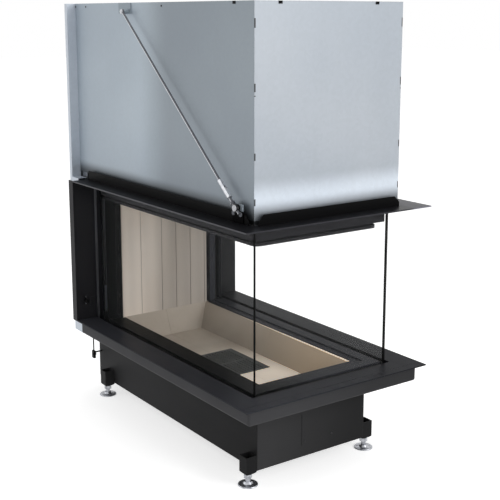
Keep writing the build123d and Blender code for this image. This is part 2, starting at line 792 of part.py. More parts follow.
def guide_nodes():
    """Fixed guides: door rails, the gasket under the glass and the counterweight channels."""
    rail = slab(rail_inner_x, rail_outer_x, rail_front_y, rail_front_y + rail_depth, deck_level, top_rail_bottom)
    rail -= slab(rail_inner_x + rail_wall, rail_outer_x - rail_wall, rail_front_y + rail_wall,
                 rail_front_y + rail_depth - rail_wall, deck_level - over, top_rail_bottom + over)
    rail -= slab(rail_mid_x - rail_slot / 2, rail_mid_x + rail_slot / 2, rail_front_y - over,
                 rail_front_y + rail_wall + over, deck_level - over, top_rail_bottom + over)
    gasket = u_band(glass_half, glass_inner_half, glass_front_y, glass_back_y, stile_front_y,
                    deck_level, glass_bottom - seat_gap)
    web_y = rope_rear_y + weight_t / 2 + guide_play
    wing_in = rope_x - weight_width / 2 - guide_play
    wing_out = rope_x + weight_width / 2 + guide_play
    bottom = weight_top - weight_height - door_travel - guide_over
    top = weight_top + guide_over
    guide = slab(wing_in, wing_out, web_y, web_y + guide_t, bottom, top)
    for x0, x1 in ((wing_in - guide_t, wing_in), (wing_out, wing_out + guide_t)):
        guide += slab(x0, x1, web_y - guide_wing, rear_y - sheet_t, bottom, top)
    return {
        "door_rails": both_sides(rail),
        "door_gasket": [gasket],
        "weight_guides": both_sides(guide),
    }


def lifting_nodes():
    """Top rail, pulleys with axles and brackets, wire ropes and counterweights."""
    rail_y0 = pulley_y - top_rail_width / 2
    top_rail = slab(-casing_half + sheet_t, casing_half - sheet_t, rail_y0, rail_y0 + top_rail_width,
                    top_rail_bottom, top_rail_bottom + top_rail_t)
    cheek_in = pulley_width / 2 + pulley_side_gap
    cheek_out = cheek_in + bracket_t
    brackets = []
    axles = []
    for sx in (-1, 1):
        x = sx * rope_x
        for x0, x1 in ((-cheek_out, -cheek_in), (cheek_in, cheek_out)):
            cheek = slab(x + x0, x + x1, pulley_y - bracket_half, pulley_y + bracket_half,
                         pulley_z - bracket_half, top_rail_bottom)
            cheek -= rod_x(x + x0 - over, x + x1 + over, pulley_y, pulley_z,
                           axle_radius + bore_clearance)
            brackets.append(cheek)
        axles.append(rod_x(x - cheek_out - axle_end, x + cheek_out + axle_end, pulley_y, pulley_z, axle_radius))
    wheel_r = pulley_pitch_radius + pulley_flange
    wheel = rod_x(-pulley_width / 2, pulley_width / 2, 0, 0, wheel_r)
    wheel -= Rot(0, 90, 0) * Torus(pulley_pitch_radius, rope_radius + rope_groove_clearance)
    neck = Rot(0, 90, 0) * (Cylinder(wheel_r + over, 2 * (rope_radius + rope_groove_clearance))
                            - Cylinder(pulley_pitch_radius, pulley_width))
    wheel -= neck
    wheel -= rod_x(-pulley_width, pulley_width, 0, 0, axle_radius + bore_clearance)
    for i in range(spoke_count):
        a = 2 * math.pi * i / spoke_count
        wheel -= rod_x(-pulley_width, pulley_width, spoke_ring_radius * math.cos(a),
                       spoke_ring_radius * math.sin(a), spoke_hole_radius)
    wheel = Pos(0, pulley_y, pulley_z) * wheel

    nodes = {
        "cross_bars": [top_rail],
        "pulley_hangers": brackets + axles,
        "pulley_right": [Pos(rope_x, 0, 0) * wheel],
        "pulley_left": [Pos(-rope_x, 0, 0) * wheel],
    }
    nodes.update(rope_nodes())
    block = slab(-weight_width / 2, weight_width / 2, -weight_t / 2, weight_t / 2,
                 weight_top - weight_height, weight_top)
    block = chamfer(block.edges().filter_by(Axis.Z), weight_edge)
    block += rod_z(0, 0, weight_top, weight_top + rope_sleeve_length, rope_sleeve_radius)
    nodes["counterweight_right"] = [Pos(rope_x, rope_rear_y, 0) * block]
    nodes["counterweight_left"] = [Pos(-rope_x, rope_rear_y, 0) * block]
    return nodes


def rope_nodes():
    """Each wire rope: the run to the door, the half turn over its pulley and the run to its weight."""
    door_end = hanger_top + rope_sleeve_length
    weight_end = weight_top + rope_sleeve_length
    half_turn = Plane.YZ * CenterArc((0, 0), pulley_pitch_radius, 0, 180)
    wraps = []
    for sx in (-1, 1):
        route = Pos(sx * rope_x, pulley_y, pulley_z) * half_turn
        section = Pos(sx * rope_x, rope_rear_y, pulley_z) * Circle(rope_radius)
        wraps.append(sweep(section, path=route))
    return {
        "rope_door_runs": [rod_z(sx * rope_x, rope_front_y, door_end, pulley_z, rope_radius) for sx in (-1, 1)],
        "rope_turns": wraps,
        "rope_weight_runs": [rod_z(sx * rope_x, rope_rear_y, weight_end, pulley_z, rope_radius) for sx in (-1, 1)],
    }


def casing_nodes():
    """Galvanised casing above the glass and the rear housing, with rim clips, screws and cross bars."""
    inner = casing_half - sheet_t
    rim_low = casing_top - sheet_t
    foot_high = head_level + sheet_t
    front = slab(-casing_half, casing_half, casing_front_y, casing_front_y + sheet_t, head_level, casing_top)
    front += slab(-inner, inner, casing_front_y + sheet_t, casing_front_y + casing_rim, rim_low, casing_top)
    front += slab(-casing_half, casing_half, casing_front_y - casing_foot, casing_front_y, head_level, foot_high)
    side_front = casing_front_y + sheet_t
    side = slab(inner, casing_half, side_front, casing_rear_y, head_level, casing_top)
    side += slab(inner - casing_rim, inner, casing_front_y + casing_rim, casing_rear_y, rim_low, casing_top)
    side += slab(casing_half, casing_half + casing_foot, side_front, frame_rear_y, head_level, foot_high)
    side -= slab(inner - over, casing_half + over, frame_rear_y, casing_rear_y + over,
                 head_level - over, head_level + casing_rear_lift)

    skin = housing_half - sheet_t
    rear_in = rear_y - sheet_t
    housing = slab(-housing_half, housing_half, rear_in, rear_y, housing_bottom, casing_top)
    face = slab(inner, skin, casing_rear_y, casing_rear_y + sheet_t, head_level, casing_top)
    upper = slab(skin, housing_half, casing_rear_y, rear_in, head_level, casing_top)
    lower = slab(skin, housing_half, housing_front_y, rear_in, housing_bottom, head_level)
    shelf = slab(casing_half, skin, housing_front_y, casing_rear_y + sheet_t, head_level - sheet_t, head_level)
    for piece in (face, upper, lower, shelf):
        for half in both_sides(piece):
            housing += half

    bars = [slab(-inner, inner, casing_front_y + run, casing_front_y + run + cross_bar_width,
                 rim_low - top_rail_t, rim_low) for run in cross_bar_runs]
    clips = [slab(x - clip_width / 2, x + clip_width / 2, casing_front_y - clip_t, casing_front_y,
                  casing_top - clip_height, casing_top) for x in front_clips]
    side_clip_y = casing_front_y + side_clip_run
    clips += both_sides(slab(casing_half, casing_half + clip_t, side_clip_y - clip_width / 2,
                             side_clip_y + clip_width / 2, casing_top - clip_height, casing_top))
    screws = []
    for setback in rim_screw_setbacks:
        screws += both_sides(rod_x(casing_half, casing_half + screw_head_height, casing_rear_y - setback,
                                   casing_top - rim_screw_drop, screw_head_radius))
    return {
        "casing_front": [front],
        "casing_sides": both_sides(side),
        "rear_housing": [housing],
        "cross_bars": bars,
        "casing_clips": clips,
        "small_screws": screws,
    }


def air_nodes():
    """Air control: knob on a bent rod, its clamp, and the crank shaft with the flap."""
    pin_y = air_axis_y - air_arm
    knob_front = frame_rear_y - sheet_t - air_knob_gap
    rod_end = knob_front - air_knob_length / 2
    bottom = air_axis_z + air_clamp_height / 2
    route = FilletPolyline(
        (air_rod_x, pin_y, bottom), (air_rod_x, pin_y, air_knob_z), (air_rod_x, air_rod_front_y, air_knob_z),
        (air_knob_x, air_rod_front_y, air_knob_z), (air_knob_x, rod_end, air_knob_z), radius=air_rod_bend,
    )
    start = Plane((air_rod_x, pin_y, bottom), z_dir=(0, 0, 1)) * Circle(air_rod_radius)
    rod = sweep(start, path=route)
    knob = rod_y(air_knob_x, knob_front - air_knob_length, knob_front, air_knob_z, air_knob_radius)
    knob = fillet(knob.edges().filter_by(GeomType.CIRCLE).sort_by(Axis.Y)[0], air_knob_radius / 3)
    knob -= rod_y(air_knob_x, rod_end, knob_front + over, air_knob_z, air_rod_radius + bore_clearance)
    half_w = air_clamp_width / 2
    clamp = slab(air_rod_x - air_clamp_t / 2, air_rod_x + air_clamp_t / 2, pin_y - half_w, pin_y + half_w,
                 air_axis_z - air_clamp_height / 2, bottom)
    slot_r = air_pin_radius + air_pin_play
    slot_reach = air_arm * (1 - math.cos(air_lift / air_arm))
    clamp -= rod_x(air_rod_x - air_clamp_t, air_rod_x + air_clamp_t, pin_y, air_axis_z, slot_r)
    clamp -= rod_x(air_rod_x - air_clamp_t, air_rod_x + air_clamp_t, pin_y + slot_reach, air_axis_z, slot_r)
    clamp -= slab(air_rod_x - air_clamp_t, air_rod_x + air_clamp_t, pin_y, pin_y + slot_reach,
                  air_axis_z - slot_r, air_axis_z + slot_r)
    arm_x0 = air_rod_x + air_clamp_t / 2 + air_side_play
    arm_x1 = arm_x0 + air_arm_t
    arm_r = air_pin_radius + air_arm_rim
    flap_x0 = -base_half + steel_t + flap_end_gap
    shaft_end = flap_x0 + flap_length + flap_end_gap
    shaft = rod_x(arm_x0, shaft_end, air_axis_y, air_axis_z, air_shaft_radius)
    arm = rod_x(arm_x0, arm_x1, air_axis_y, air_axis_z, arm_r) + rod_x(arm_x0, arm_x1, pin_y, air_axis_z, arm_r)
    arm += slab(arm_x0, arm_x1, pin_y, air_axis_y, air_axis_z - arm_r, air_axis_z + arm_r)
    pin_end = air_rod_x - air_clamp_t / 2 - air_pin_reach
    shaft += arm + rod_x(pin_end, arm_x0, pin_y, air_axis_z, air_pin_radius)
    flap = slab(flap_x0, flap_x0 + flap_length, air_axis_y - flap_half, air_axis_y + flap_half,
                air_axis_z + air_shaft_radius, air_axis_z + air_shaft_radius + flap_t)
    return {
        "air_rod": [rod, clamp],
        "air_knob": [knob],
        "air_crank": [shaft, flap],
    }


def brace_nodes():
    """Diagonal braces from the casing rim down to the upstands, each with a turnbuckle sleeve."""
    run_y = brace_foot_y - brace_top_y
    run_z = brace_foot_z - brace_top_z
    length = math.hypot(run_y, run_z)
    sleeve_start = length - sleeve_foot_run
    along = Plane((brace_x, brace_top_y, brace_top_z), x_dir=(1, 0, 0), z_dir=(0, run_y / length, run_z / length))
    eye = Rot(0, 90, 0) * Cylinder(brace_eye_radius, brace_eye_t)
    foot_eye = Rot(0, 90, 0) * Cylinder(brace_foot_eye_radius, brace_eye_t)
    eye_bore = Rot(0, 90, 0) * Cylinder(brace_pin_radius + bore_clearance, 2 * brace_eye_t)
    upper_end = sleeve_start + brace_thread_in
    lower_start = sleeve_start + sleeve_length - brace_thread_in
    upper = Pos(0, 0, upper_end / 2) * Cylinder(brace_radius, upper_end) + eye - eye_bore
    tail_end = length + brace_tail
    lower = Pos(0, 0, (lower_start + tail_end) / 2) * Cylinder(brace_radius, tail_end - lower_start)
    lower += Pos(0, 0, length) * foot_eye
    lower -= Pos(0, 0, length) * eye_bore
    sleeve = Pos(0, 0, sleeve_start) * hex_bar(sleeve_flat, sleeve_length)
    middle = Pos(0, 0, sleeve_start + sleeve_length / 2)
    sleeve -= middle * Cylinder(brace_radius + bore_clearance, 2 * sleeve_length)
    sleeve -= middle * Box(sleeve_window_width, 2 * sleeve_flat, sleeve_window_length)
    nut_at = length - brace_foot_eye_radius - brace_nut_back
    nut = Pos(0, 0, nut_at) * hex_bar(sleeve_flat, brace_nut_height)
    nut -= Pos(0, 0, nut_at) * Cylinder(brace_radius + bore_clearance, 4 * sleeve_flat)

    eye_out = brace_x + brace_eye_t / 2
    eye_in = brace_x - brace_eye_t / 2
    plate_x = casing_half + brace_plate_t
    plate = slab(casing_half, plate_x, brace_top_y - brace_plate_front,
                 brace_top_y - brace_plate_front + brace_plate_length, casing_top - brace_plate_height, casing_top)
    boss = rod_x(plate_x, eye_in - brace_gap, brace_top_y, brace_top_z, brace_eye_radius)
    top_pin = rod_x(eye_in - brace_gap, eye_out + brace_gap, brace_top_y, brace_top_z, brace_pin_radius)
    head_x = eye_out + brace_gap
    head = rod_x(head_x, head_x + brace_head_t, brace_top_y, brace_top_z, brace_head_radius)
    top_bracket = plate + boss + top_pin + head
    lug_x = upstand_outer + brace_plate_t
    lug = slab(upstand_outer, lug_x, brace_foot_y - brace_lug_foot, brace_foot_y + brace_lug_half,
               head_level + sheet_t, brace_foot_z + brace_foot_eye_radius)
    foot_pin = rod_x(lug_x, eye_out + brace_gap, brace_foot_y, brace_foot_z, brace_pin_radius)
    foot_pin += rod_x(lug_x, eye_in - brace_gap, brace_foot_y, brace_foot_z, brace_head_radius)
    foot_head = rod_x(head_x, head_x + brace_head_t, brace_foot_y, brace_foot_z, brace_foot_head_radius)
    foot_bracket = lug + foot_pin + foot_head
    bolt_z = brace_foot_z - brace_eye_radius - bolt_drop
    bolts = [Pos(lug_x, brace_foot_y + dy, bolt_z) * Rot(0, 90, 0) * hex_bar(bolt_head_flat, bolt_head_height)
             for dy in (-bolt_front_run, bolt_rear_run)]
    pieces = {
        "brace_rods": [along * upper, along * lower, along * nut],
        "brace_brackets": [top_bracket, foot_bracket] + bolts,
    }
    nodes = {name: shapes + [mirrored(s) for s in shapes] for name, shapes in pieces.items()}
    nodes["turnbuckle_right"] = [along * sleeve]
    nodes["turnbuckle_left"] = [mirrored(along * sleeve)]
    return nodes


def all_nodes():
    """Every sub-part of the insert, by name."""
    nodes = {}
    for part in (base_nodes, feet_nodes, frame_nodes, upstand_nodes, hearth_nodes, firebox_nodes, door_nodes,
                 guide_nodes, lifting_nodes, casing_nodes, air_nodes, brace_nodes):
        for name, solids in part().items():
            nodes[name] = nodes.get(name, []) + solids
    return nodes


if __name__ == "__main__":
    os.makedirs("parts", exist_ok=True)
    for name, solids in all_nodes().items():
        shape = solids[0] if len(solids) == 1 else Compound(children=solids)
        shape.label = name
        export_step(shape, "parts/" + name + ".step")
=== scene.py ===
"""Looks of a tall fireplace insert whose three-sided glass lifts into the sheet casing above it.

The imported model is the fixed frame. Every piece here is in metres in that frame, and each finish is worked
out on object coordinates, so one millimetre of a pattern is one millimetre of the insert.
"""

import json
import logging
import math
from dataclasses import dataclass
from enum import Enum
from typing import Iterable, Mapping, Union

import bpy
import numpy as np
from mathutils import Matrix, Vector

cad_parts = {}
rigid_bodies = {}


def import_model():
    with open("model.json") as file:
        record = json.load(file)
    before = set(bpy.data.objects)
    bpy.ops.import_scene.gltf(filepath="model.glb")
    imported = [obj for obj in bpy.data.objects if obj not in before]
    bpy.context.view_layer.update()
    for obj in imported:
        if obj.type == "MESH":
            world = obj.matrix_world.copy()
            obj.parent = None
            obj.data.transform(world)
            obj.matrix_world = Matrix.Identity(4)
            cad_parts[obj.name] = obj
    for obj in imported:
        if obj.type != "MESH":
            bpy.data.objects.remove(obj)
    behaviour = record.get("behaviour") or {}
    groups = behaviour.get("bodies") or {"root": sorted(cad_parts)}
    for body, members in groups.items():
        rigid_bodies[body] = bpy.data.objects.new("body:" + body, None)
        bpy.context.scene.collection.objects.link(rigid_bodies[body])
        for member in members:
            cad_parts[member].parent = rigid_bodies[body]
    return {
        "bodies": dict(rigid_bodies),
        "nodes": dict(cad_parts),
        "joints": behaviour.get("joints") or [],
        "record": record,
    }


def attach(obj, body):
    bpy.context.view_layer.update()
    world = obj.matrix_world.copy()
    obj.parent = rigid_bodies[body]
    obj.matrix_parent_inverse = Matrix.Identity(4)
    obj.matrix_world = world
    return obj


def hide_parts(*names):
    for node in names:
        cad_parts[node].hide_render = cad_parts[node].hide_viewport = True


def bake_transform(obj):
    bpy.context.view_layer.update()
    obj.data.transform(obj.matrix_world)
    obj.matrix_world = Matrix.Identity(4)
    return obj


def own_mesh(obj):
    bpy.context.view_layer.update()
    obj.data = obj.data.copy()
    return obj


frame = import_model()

log = logging.getLogger("insert")

Colour = tuple[float, float, float]
Number = Union[float, "Sock"]

FULL_TURN = 2.0 * math.pi  # radians
LINE_FADE = 0.0006         # metres over which the edge of a drawn line or slot fades


def grey_of(tone: int) -> float:
    """The linear value of a display tone from 0 to 255.

    The usual curve of displays: a straight line up to 0.04045, and a power of 2.4 above it.

    Args:
        tone: The tone as a picture shows it.

    Returns:
        The same tone as the amount of light.
    """
    share = tone / 255.0
    return share / 12.92 if share <= 0.04045 else ((share + 0.055) / 1.055) ** 2.4


def colour_of(red: int, green: int, blue: int) -> Colour:
    """The linear colour of display tones from 0 to 255.

    Args:
        red: Red tone.
        green: Green tone.
        blue: Blue tone.

    Returns:
        The linear colour.
    """
    return grey_of(red), grey_of(green), grey_of(blue)


RUBBED_AND_LIT = colour_of(84, 84, 88)  # black steel where its edges are rubbed and lit by a painted highlight


class Axis(Enum):
    """A direction of the row frame that a pattern runs along."""

    ACROSS = 0
    DEPTH = 1
    UP = 2


class Sock:
    """A number socket that takes part in sums, so shader maths reads as an expression."""

    def __init__(self, graph: "Graph", link: bpy.types.NodeSocket) -> None:
        """Keeps the graph and the output socket."""
        self.graph = graph
        self.link = link

    def _math(self, operation: str, *values: Number) -> "Sock":
        """One Math node.

        Args:
            operation: Blender's name of the operation.
            values: Its inputs in order.

        Returns:
            The node's result.
        """
        node = self.graph.node("ShaderNodeMath", {"operation": operation}, dict(enumerate(values)))
        return Sock(self.graph, node.outputs[0])

    def __add__(self, other: Number) -> "Sock":
        """Sum."""
        return self._math("ADD", self, other)

    def __radd__(self, other: Number) -> "Sock":
        """Sum with a number on the left."""
        return self._math("ADD", other, self)

    def __sub__(self, other: Number) -> "Sock":
        """Difference."""
        return self._math("SUBTRACT", self, other)

    def __rsub__(self, other: Number) -> "Sock":
        """Difference with a number on the left."""
        return self._math("SUBTRACT", other, self)

    def __mul__(self, other: Number) -> "Sock":
        """Product."""
        return self._math("MULTIPLY", self, other)

    def __rmul__(self, other: Number) -> "Sock":
        """Product with a number on the left."""
        return self._math("MULTIPLY", other, self)

    def __pow__(self, other: Number) -> "Sock":
        """Power."""
        return self._math("POWER", self, other)

    def swing(self, share: float) -> "Sock":
        """How far the value lies from its middle of a half, times a share."""
        return (self - 0.5) * share

    def wave(self, length: float, bend: Number = 0.0) -> "Sock":
        """A wave from 0 to 1: a half plus half the sine of a full turn times the value over the length.

        Args:
            length: The distance after which it repeats.
            bend: An angle in radians that shifts it.

        Returns:
            The wave.
        """
        return self._math("SINE", self * (FULL_TURN / length) + bend) * 0.5 + 0.5

    def size(self) -> "Sock":
        """The value without its sign."""
        return self._math("ABSOLUTE", self)

    def lower(self, other: Number) -> "Sock":
        """The lower of two values."""
        return self._math("MINIMUM", self, other)

    def higher(self, other: Number) -> "Sock":
        """The higher of two values."""
        return self._math("MAXIMUM", self, other)

    def ramp(self, low: float, high: float) -> "Sock":
        """A smooth rise from 0 at low to 1 at high; it falls when high is the smaller.

        Args:
            low: Where the result is 0.
            high: Where the result is 1.

        Returns:
            The smooth step.
        """
        flip = high < low
        node = self.graph.node(
            "ShaderNodeMapRange",
            {"interpolation_type": "SMOOTHSTEP"},
            {"Value": self, "From Min": min(low, high), "From Max": max(low, high),
             "To Min": 1.0 if flip else 0.0, "To Max": 0.0 if flip else 1.0},
        )
        return Sock(self.graph, node.outputs[0])


class Tint:
    """A colour socket."""

    def __init__(self, graph: "Graph", link: bpy.types.NodeSocket) -> None:
        """Keeps the graph and the output socket."""
        self.graph = graph
        self.link = link


class Graph:
    """The nodes of one material, or of the world, made by one method."""

    bevel_samples = 4
    corner_turn = (0.01, 0.25)

    def __init__(self, name: str, world: bool = False) -> None:
        """Starts an empty material of that name, or a world."""
        self.owner = (bpy.data.worlds if world else bpy.data.materials).new(name)
        self.owner.use_nodes = True
        self.tree = self.owner.node_tree
        self.tree.nodes.clear()

    def node(self, kind: str, settings: Mapping[str, object],
             sockets: Mapping[object, object]) -> bpy.types.Node:
        """Makes one node: its settings first, then the values or links of its sockets.

        Args:
            kind: Blender's node type.
            settings: The node's own properties.
            sockets: Input values, Socks or Tints by name or place.

        Returns:
            The node.
        """
        made = self.tree.nodes.new(kind)
        for key, value in settings.items():
            setattr(made, key, value)
        for key, value in sockets.items():
            place = made.inputs[key]
            if isinstance(value, (Sock, Tint)):
                self.tree.links.new(value.link, place)
            elif isinstance(value, bpy.types.NodeSocket):
                self.tree.links.new(value, place)
            elif isinstance(value, tuple) and len(value) == 3 and place.type == "RGBA":
                place.default_value = (*value, 1.0)
            else:
                place.default_value = value
        return made

    def place(self) -> bpy.types.NodeSocket:
        """The point on the piece in metres of the row frame."""
        return self.node("ShaderNodeTexCoord", {}, {}).outputs["Object"]

    def parts(self) -> tuple[Sock, Sock, Sock]:
        """The point's three coordinates."""
        split = self.node("ShaderNodeSeparateXYZ", {}, {0: self.place()})
        return tuple(Sock(self, out) for out in split.outputs)

    def facing(self) -> tuple[Sock, Sock, Sock]:
        """The three parts of the face's own direction."""
        normal = self.node("ShaderNodeNewGeometry", {}, {}).outputs["Normal"]
        split = self.node("ShaderNodeSeparateXYZ", {}, {0: normal})
        return tuple(Sock(self, out) for out in split.outputs)

    def stretched(self, along: Axis, factor: float) -> bpy.types.NodeSocket:
        """Object coordinates drawn out along one direction.

        Args:
            along: The direction.
            factor: How many times longer the pattern is there.

        Returns:
            The coordinates.
        """
        scale = [1.0, 1.0, 1.0]
        scale[along.value] = 1.0 / factor
        return self.node("ShaderNodeMapping", {}, {"Vector": self.place(), "Scale": tuple(scale)}).outputs[0]

    def noise(self, scale: float, detail: float = 3.0, rough: float = 0.5,
              where: Union[bpy.types.NodeSocket, None] = None) -> Sock:
        """Soft noise from 0 to 1.

        Args:
            scale: Features to a metre.
            detail: Finer layers added.
            rough: Their strength.
            where: Coordinates, or None for the plain ones.

        Returns:
            The noise.
        """
        node = self.node("ShaderNodeTexNoise", {}, {"Vector": where or self.place(), "Scale": scale,
                                                    "Detail": detail, "Roughness": rough})
        return Sock(self, node.outputs[0])

    def cells(self, scale: float, where: Union[bpy.types.NodeSocket, None] = None) -> tuple[Sock, Sock]:
        """Random cells: the distance inside each, and one random number for each.

        Args:
            scale: Cells to a metre.
            where: Coordinates, or None for the plain ones.

        Returns:
            The distance and the number.
        """
        node = self.node("ShaderNodeTexVoronoi", {}, {"Vector": where or self.place(), "Scale": scale})
        split = self.node("ShaderNodeSeparateXYZ", {}, {0: node.outputs["Color"]})
        return Sock(self, node.outputs["Distance"]), Sock(self, split.outputs[0])

    def mix(self, share: Number, first: Union[Colour, Tint], second: Union[Colour, Tint]) -> Tint:
        """One colour turning into another.

        Args:
            share: 0 is the first and 1 the second.
            first: The first colour.
            second: The second colour.

        Returns:
            The blend.
        """
        node = self.node("ShaderNodeMix", {"data_type": "RGBA"}, {0: share, 6: first, 7: second})
        return Tint(self, node.outputs[2])

    def shade(self, tint: Union[Colour, Tint], amount: Sock) -> Tint:
        """A colour made lighter or darker by a factor.

        Args:
            tint: The colour.
            amount: The factor, 1 for no change.

        Returns:
            The shaded colour.
        """
        same = self.node("ShaderNodeCombineXYZ", {}, {0: amount, 1: amount, 2: amount})
        node = self.node("ShaderNodeMix", {"data_type": "RGBA", "blend_type": "MULTIPLY"},
                         {0: 1.0, 6: tint, 7: same.outputs[0]})
        return Tint(self, node.outputs[2])

    def edges(self, reach: float) -> tuple[Sock, bpy.types.NodeSocket]:
        """Where the piece turns a corner: 0 on its flats and towards 1 on its edges.

        Args:
            reach: The width of the worn or rounded edge in metres.

        Returns:
            The mask, and the softened direction for the surface's normal.
        """
        soft = self.node("ShaderNodeBevel", {"samples": self.bevel_samples}, {"Radius": reach}).outputs[0]
        plain = self.node("ShaderNodeNewGeometry", {}, {}).outputs["Normal"]
        dot = self.node("ShaderNodeVectorMath", {"operation": "DOT_PRODUCT"}, {0: soft, 1: plain})
        return (1.0 - Sock(self, dot.outputs["Value"])).ramp(*self.corner_turn), soft

    def bump(self, height: Sock, depth: float, strength: float = 1.0,
             normal: Union[bpy.types.NodeSocket, None] = None) -> bpy.types.NodeSocket:
        """A bumped normal.

        Args:
            height: The relief from 0 to 1.
            depth: Its height in metres.
            strength: How much of it shows.
            normal: A normal that it starts from.

        Returns:
            The normal socket.
        """
        sockets: dict[object, object] = {"Height": height, "Distance": depth, "Strength": strength}
        if normal is not None:
            sockets["Normal"] = normal
        return self.node("ShaderNodeBump", {}, sockets).outputs[0]

    def surface(self, **sockets: object) -> bpy.types.Material:
        """Ends the material in one Principled shader.

        Args:
            sockets: Its inputs, with _ for each space of their names.

        Returns:
            The material.
        """
        named = {key.replace("_", " "): value for key, value in sockets.items()}
        shader = self.node("ShaderNodeBsdfPrincipled", {}, named)
        self.node("ShaderNodeOutputMaterial", {}, {"Surface": shader.outputs[0]})
        return self.owner

    def seen_directly(self) -> Sock:
        """1 for camera, mirror and see-through rays, and 0 for the light that falls on things."""
        rays = self.node("ShaderNodeLightPath", {}, {})
        total = Sock(self, rays.outputs["Is Camera Ray"])
        for kind in ("Is Glossy Ray", "Is Transmission Ray"):
            total = total.higher(Sock(self, rays.outputs[kind]))
        return total


@dataclass(frozen=True)
class GalvanisedSheet:
    """Zinc-coated sheet: faint spangle, drawn streaks, a soft cloudy tone and painted shade at its foot.

    Places are in metres. The foot is darkened by painted shade up to foot_rise, under a band of painted
    reflected light that reaches higher, and painted shade makes the sheet nearly black below under. Front and
    side sheets meet at an upright corner, where tabs leave dark slots and the side's edge a seam. Near_shade
    darkens the sides towards the front with painted shade, between two depths.
    """

    name: str = "galvanised_sheet"
    tone: Colour = colour_of(180, 188, 196)
    shadow: Colour = colour_of(166, 176, 187)
    metal: float = 0.35
    rough: float = 0.46
    edge: float = 0.0014
    streaks: float = 0.07
    spangle: float = 0.05
    wear: float = 0.16
    foot: float = 0.906
    foot_drop: float = 0.008
    foot_rise: float = 0.040
    foot_shade: float = 0.72
    foot_waver: float = 0.012
    # Painted highlight: how much lighter the band above the foot is made.
    wipe: float = 0.0
    highlight_rise: float = 0.110
    under: float = 0.0
    under_fade: float = 0.003
    under_shade: float = 0.88
    corner: float = 0.2895
    corner_reach: float = 0.0
    corner_depth: float = -0.5485
    slots: tuple[tuple[float, float], ...] = ()
    slot_dark: float = 0.9
    seam: float = 0.0
    seam_dark: float = 0.6
    near_shade: float = 0.0
    shade_depths: tuple[float, float] = (0.14, -0.08)

    def material(self) -> bpy.types.Material:
        """Builds the finish: one tone times a shade, which each mark raises or lowers in its own place."""
        g = Graph(self.name)
        x, y, z = g.parts()
        edge_mask, soft = g.edges(self.edge)
        cloud = g.noise(scale=2.2, detail=2.0)
        streak = g.noise(scale=26.0, detail=3.0, rough=0.6, where=g.stretched(Axis.UP, factor=22.0))
        _, flake = g.cells(scale=95.0)
        base = g.mix(cloud.ramp(0.3, 0.7), self.tone, self.shadow)
        shade = 1.0 + streak.swing(self.streaks) + flake.swing(self.spangle) + edge_mask * self.wear
        level = z + cloud.swing(self.foot_waver)
        top = self.foot + self.foot_rise
        # Painted shade: the foot darkens softly above the black strip, a painted dark reflection of that
        # strip.
        shade = shade * (1.0 - level.ramp(top, self.foot - self.foot_drop) * self.foot_shade)
        # Painted highlight: a band above the foot made lighter, painted reflected light from the plate below.
        if self.wipe:
            shade = shade * (1.0 + level.ramp(self.foot + self.highlight_rise, top) * self.wipe)
        # Painted shade: the sheet turns nearly black below the under level.
        if self.under:
            shade = shade * (1.0 - z.ramp(self.under + self.under_fade, self.under) * self.under_shade)
        if self.corner_reach:
            near = (self.corner - x.size()).ramp(self.corner_reach + LINE_FADE, self.corner_reach)
            for low, high in self.slots:
                inside = z.ramp(low - LINE_FADE, low) * z.ramp(high + LINE_FADE, high)
                shade = shade * (1.0 - near * inside * self.slot_dark)
        if self.near_shade:
            shade = shade * (1.0 - y.ramp(*self.shade_depths) * self.near_shade)
        if self.seam:
            line = self.corner_depth + self.seam
            shade = shade * (1.0 - y.ramp(line, line - LINE_FADE) * self.seam_dark)
        rough = self.rough + flake.swing(0.06) + streak.swing(0.12)
        fine = g.noise(scale=420.0, detail=2.0)
        normal = g.bump(fine + streak * 0.4, depth=0.00012, strength=0.35, normal=soft)
        return g.surface(Base_Color=g.shade(base, shade), Metallic=self.metal, Roughness=rough, Normal=normal)


@dataclass(frozen=True)
class CoatedSteel:
    """Steel under a fine black coat: a light grain, softened corners, and edges made lighter by rubbing and
    by a painted highlight.

    The painted shade ramp gives where it starts and ends along its axis and how much darker it gets. Rim is
    how much lighter the upright faces are, a painted highlight, and flank is the lighter tone, also painted
    highlight, of those that look to the left.
    """

    name: str
    tone: Colour = colour_of(15, 15, 16)
    rub_and_highlight: Colour = colour_of(76, 76, 80)
    rough: float = 0.42
    grain: float = 1500.0
    edge: float = 0.0012
    rub_and_highlight_share: float = 0.8
    sheen: float = 0.05
    shade_axis: Axis = Axis.UP
    shade_ramp: tuple[float, float, float] = (0.0, 1.0, 0.0)
    rim: float = 0.0
    lit_flank: Union[Colour, None] = None

    def material(self) -> bpy.types.Material:
        """Builds the finish."""
        g = Graph(self.name)
        edge_mask, soft = g.edges(self.edge)
        cloud = g.noise(scale=6.0, detail=3.0)
        grain = g.noise(scale=self.grain, detail=2.0, rough=0.6)
        wipe = g.noise(scale=18.0, detail=4.0, rough=0.65, where=g.stretched(Axis.DEPTH, factor=5.0))
        tone = g.shade(self.tone, 0.86 + cloud * 0.28 + grain.swing(0.22))
        # Painted shade: the coat darkens between two places along one axis.
        start, end, amount = self.shade_ramp
        if amount:
            place = g.parts()[self.shade_axis.value]
            tone = g.shade(tone, 1.0 - place.ramp(start, end) * amount)
        # Painted highlight: the upright faces are made lighter.
        if self.rim:
            upright = g.facing()[Axis.UP.value].size().ramp(0.6, 0.2)
            tone = g.shade(tone, 1.0 + upright * self.rim)
        # Painted highlight: faces that look to the left get their own lighter tone.
        if self.lit_flank:
            to_left = g.facing()[Axis.ACROSS.value].ramp(-0.6, -0.9)
            tone = g.mix(to_left, tone, self.lit_flank)
        # Edges lighter partly from rubbing and partly as a painted highlight where they catch the light.
        tone = g.mix(edge_mask * (0.4 + cloud * 0.6) * self.rub_and_highlight_share, tone, self.rub_and_highlight)
        rough = self.rough + wipe.swing(0.16) + grain.swing(0.08)
        normal = g.bump(grain, depth=0.00009, strength=0.5, normal=soft)
        return g.surface(Base_Color=tone, Roughness=rough, Normal=normal, Specular_IOR_Level=self.sheen)


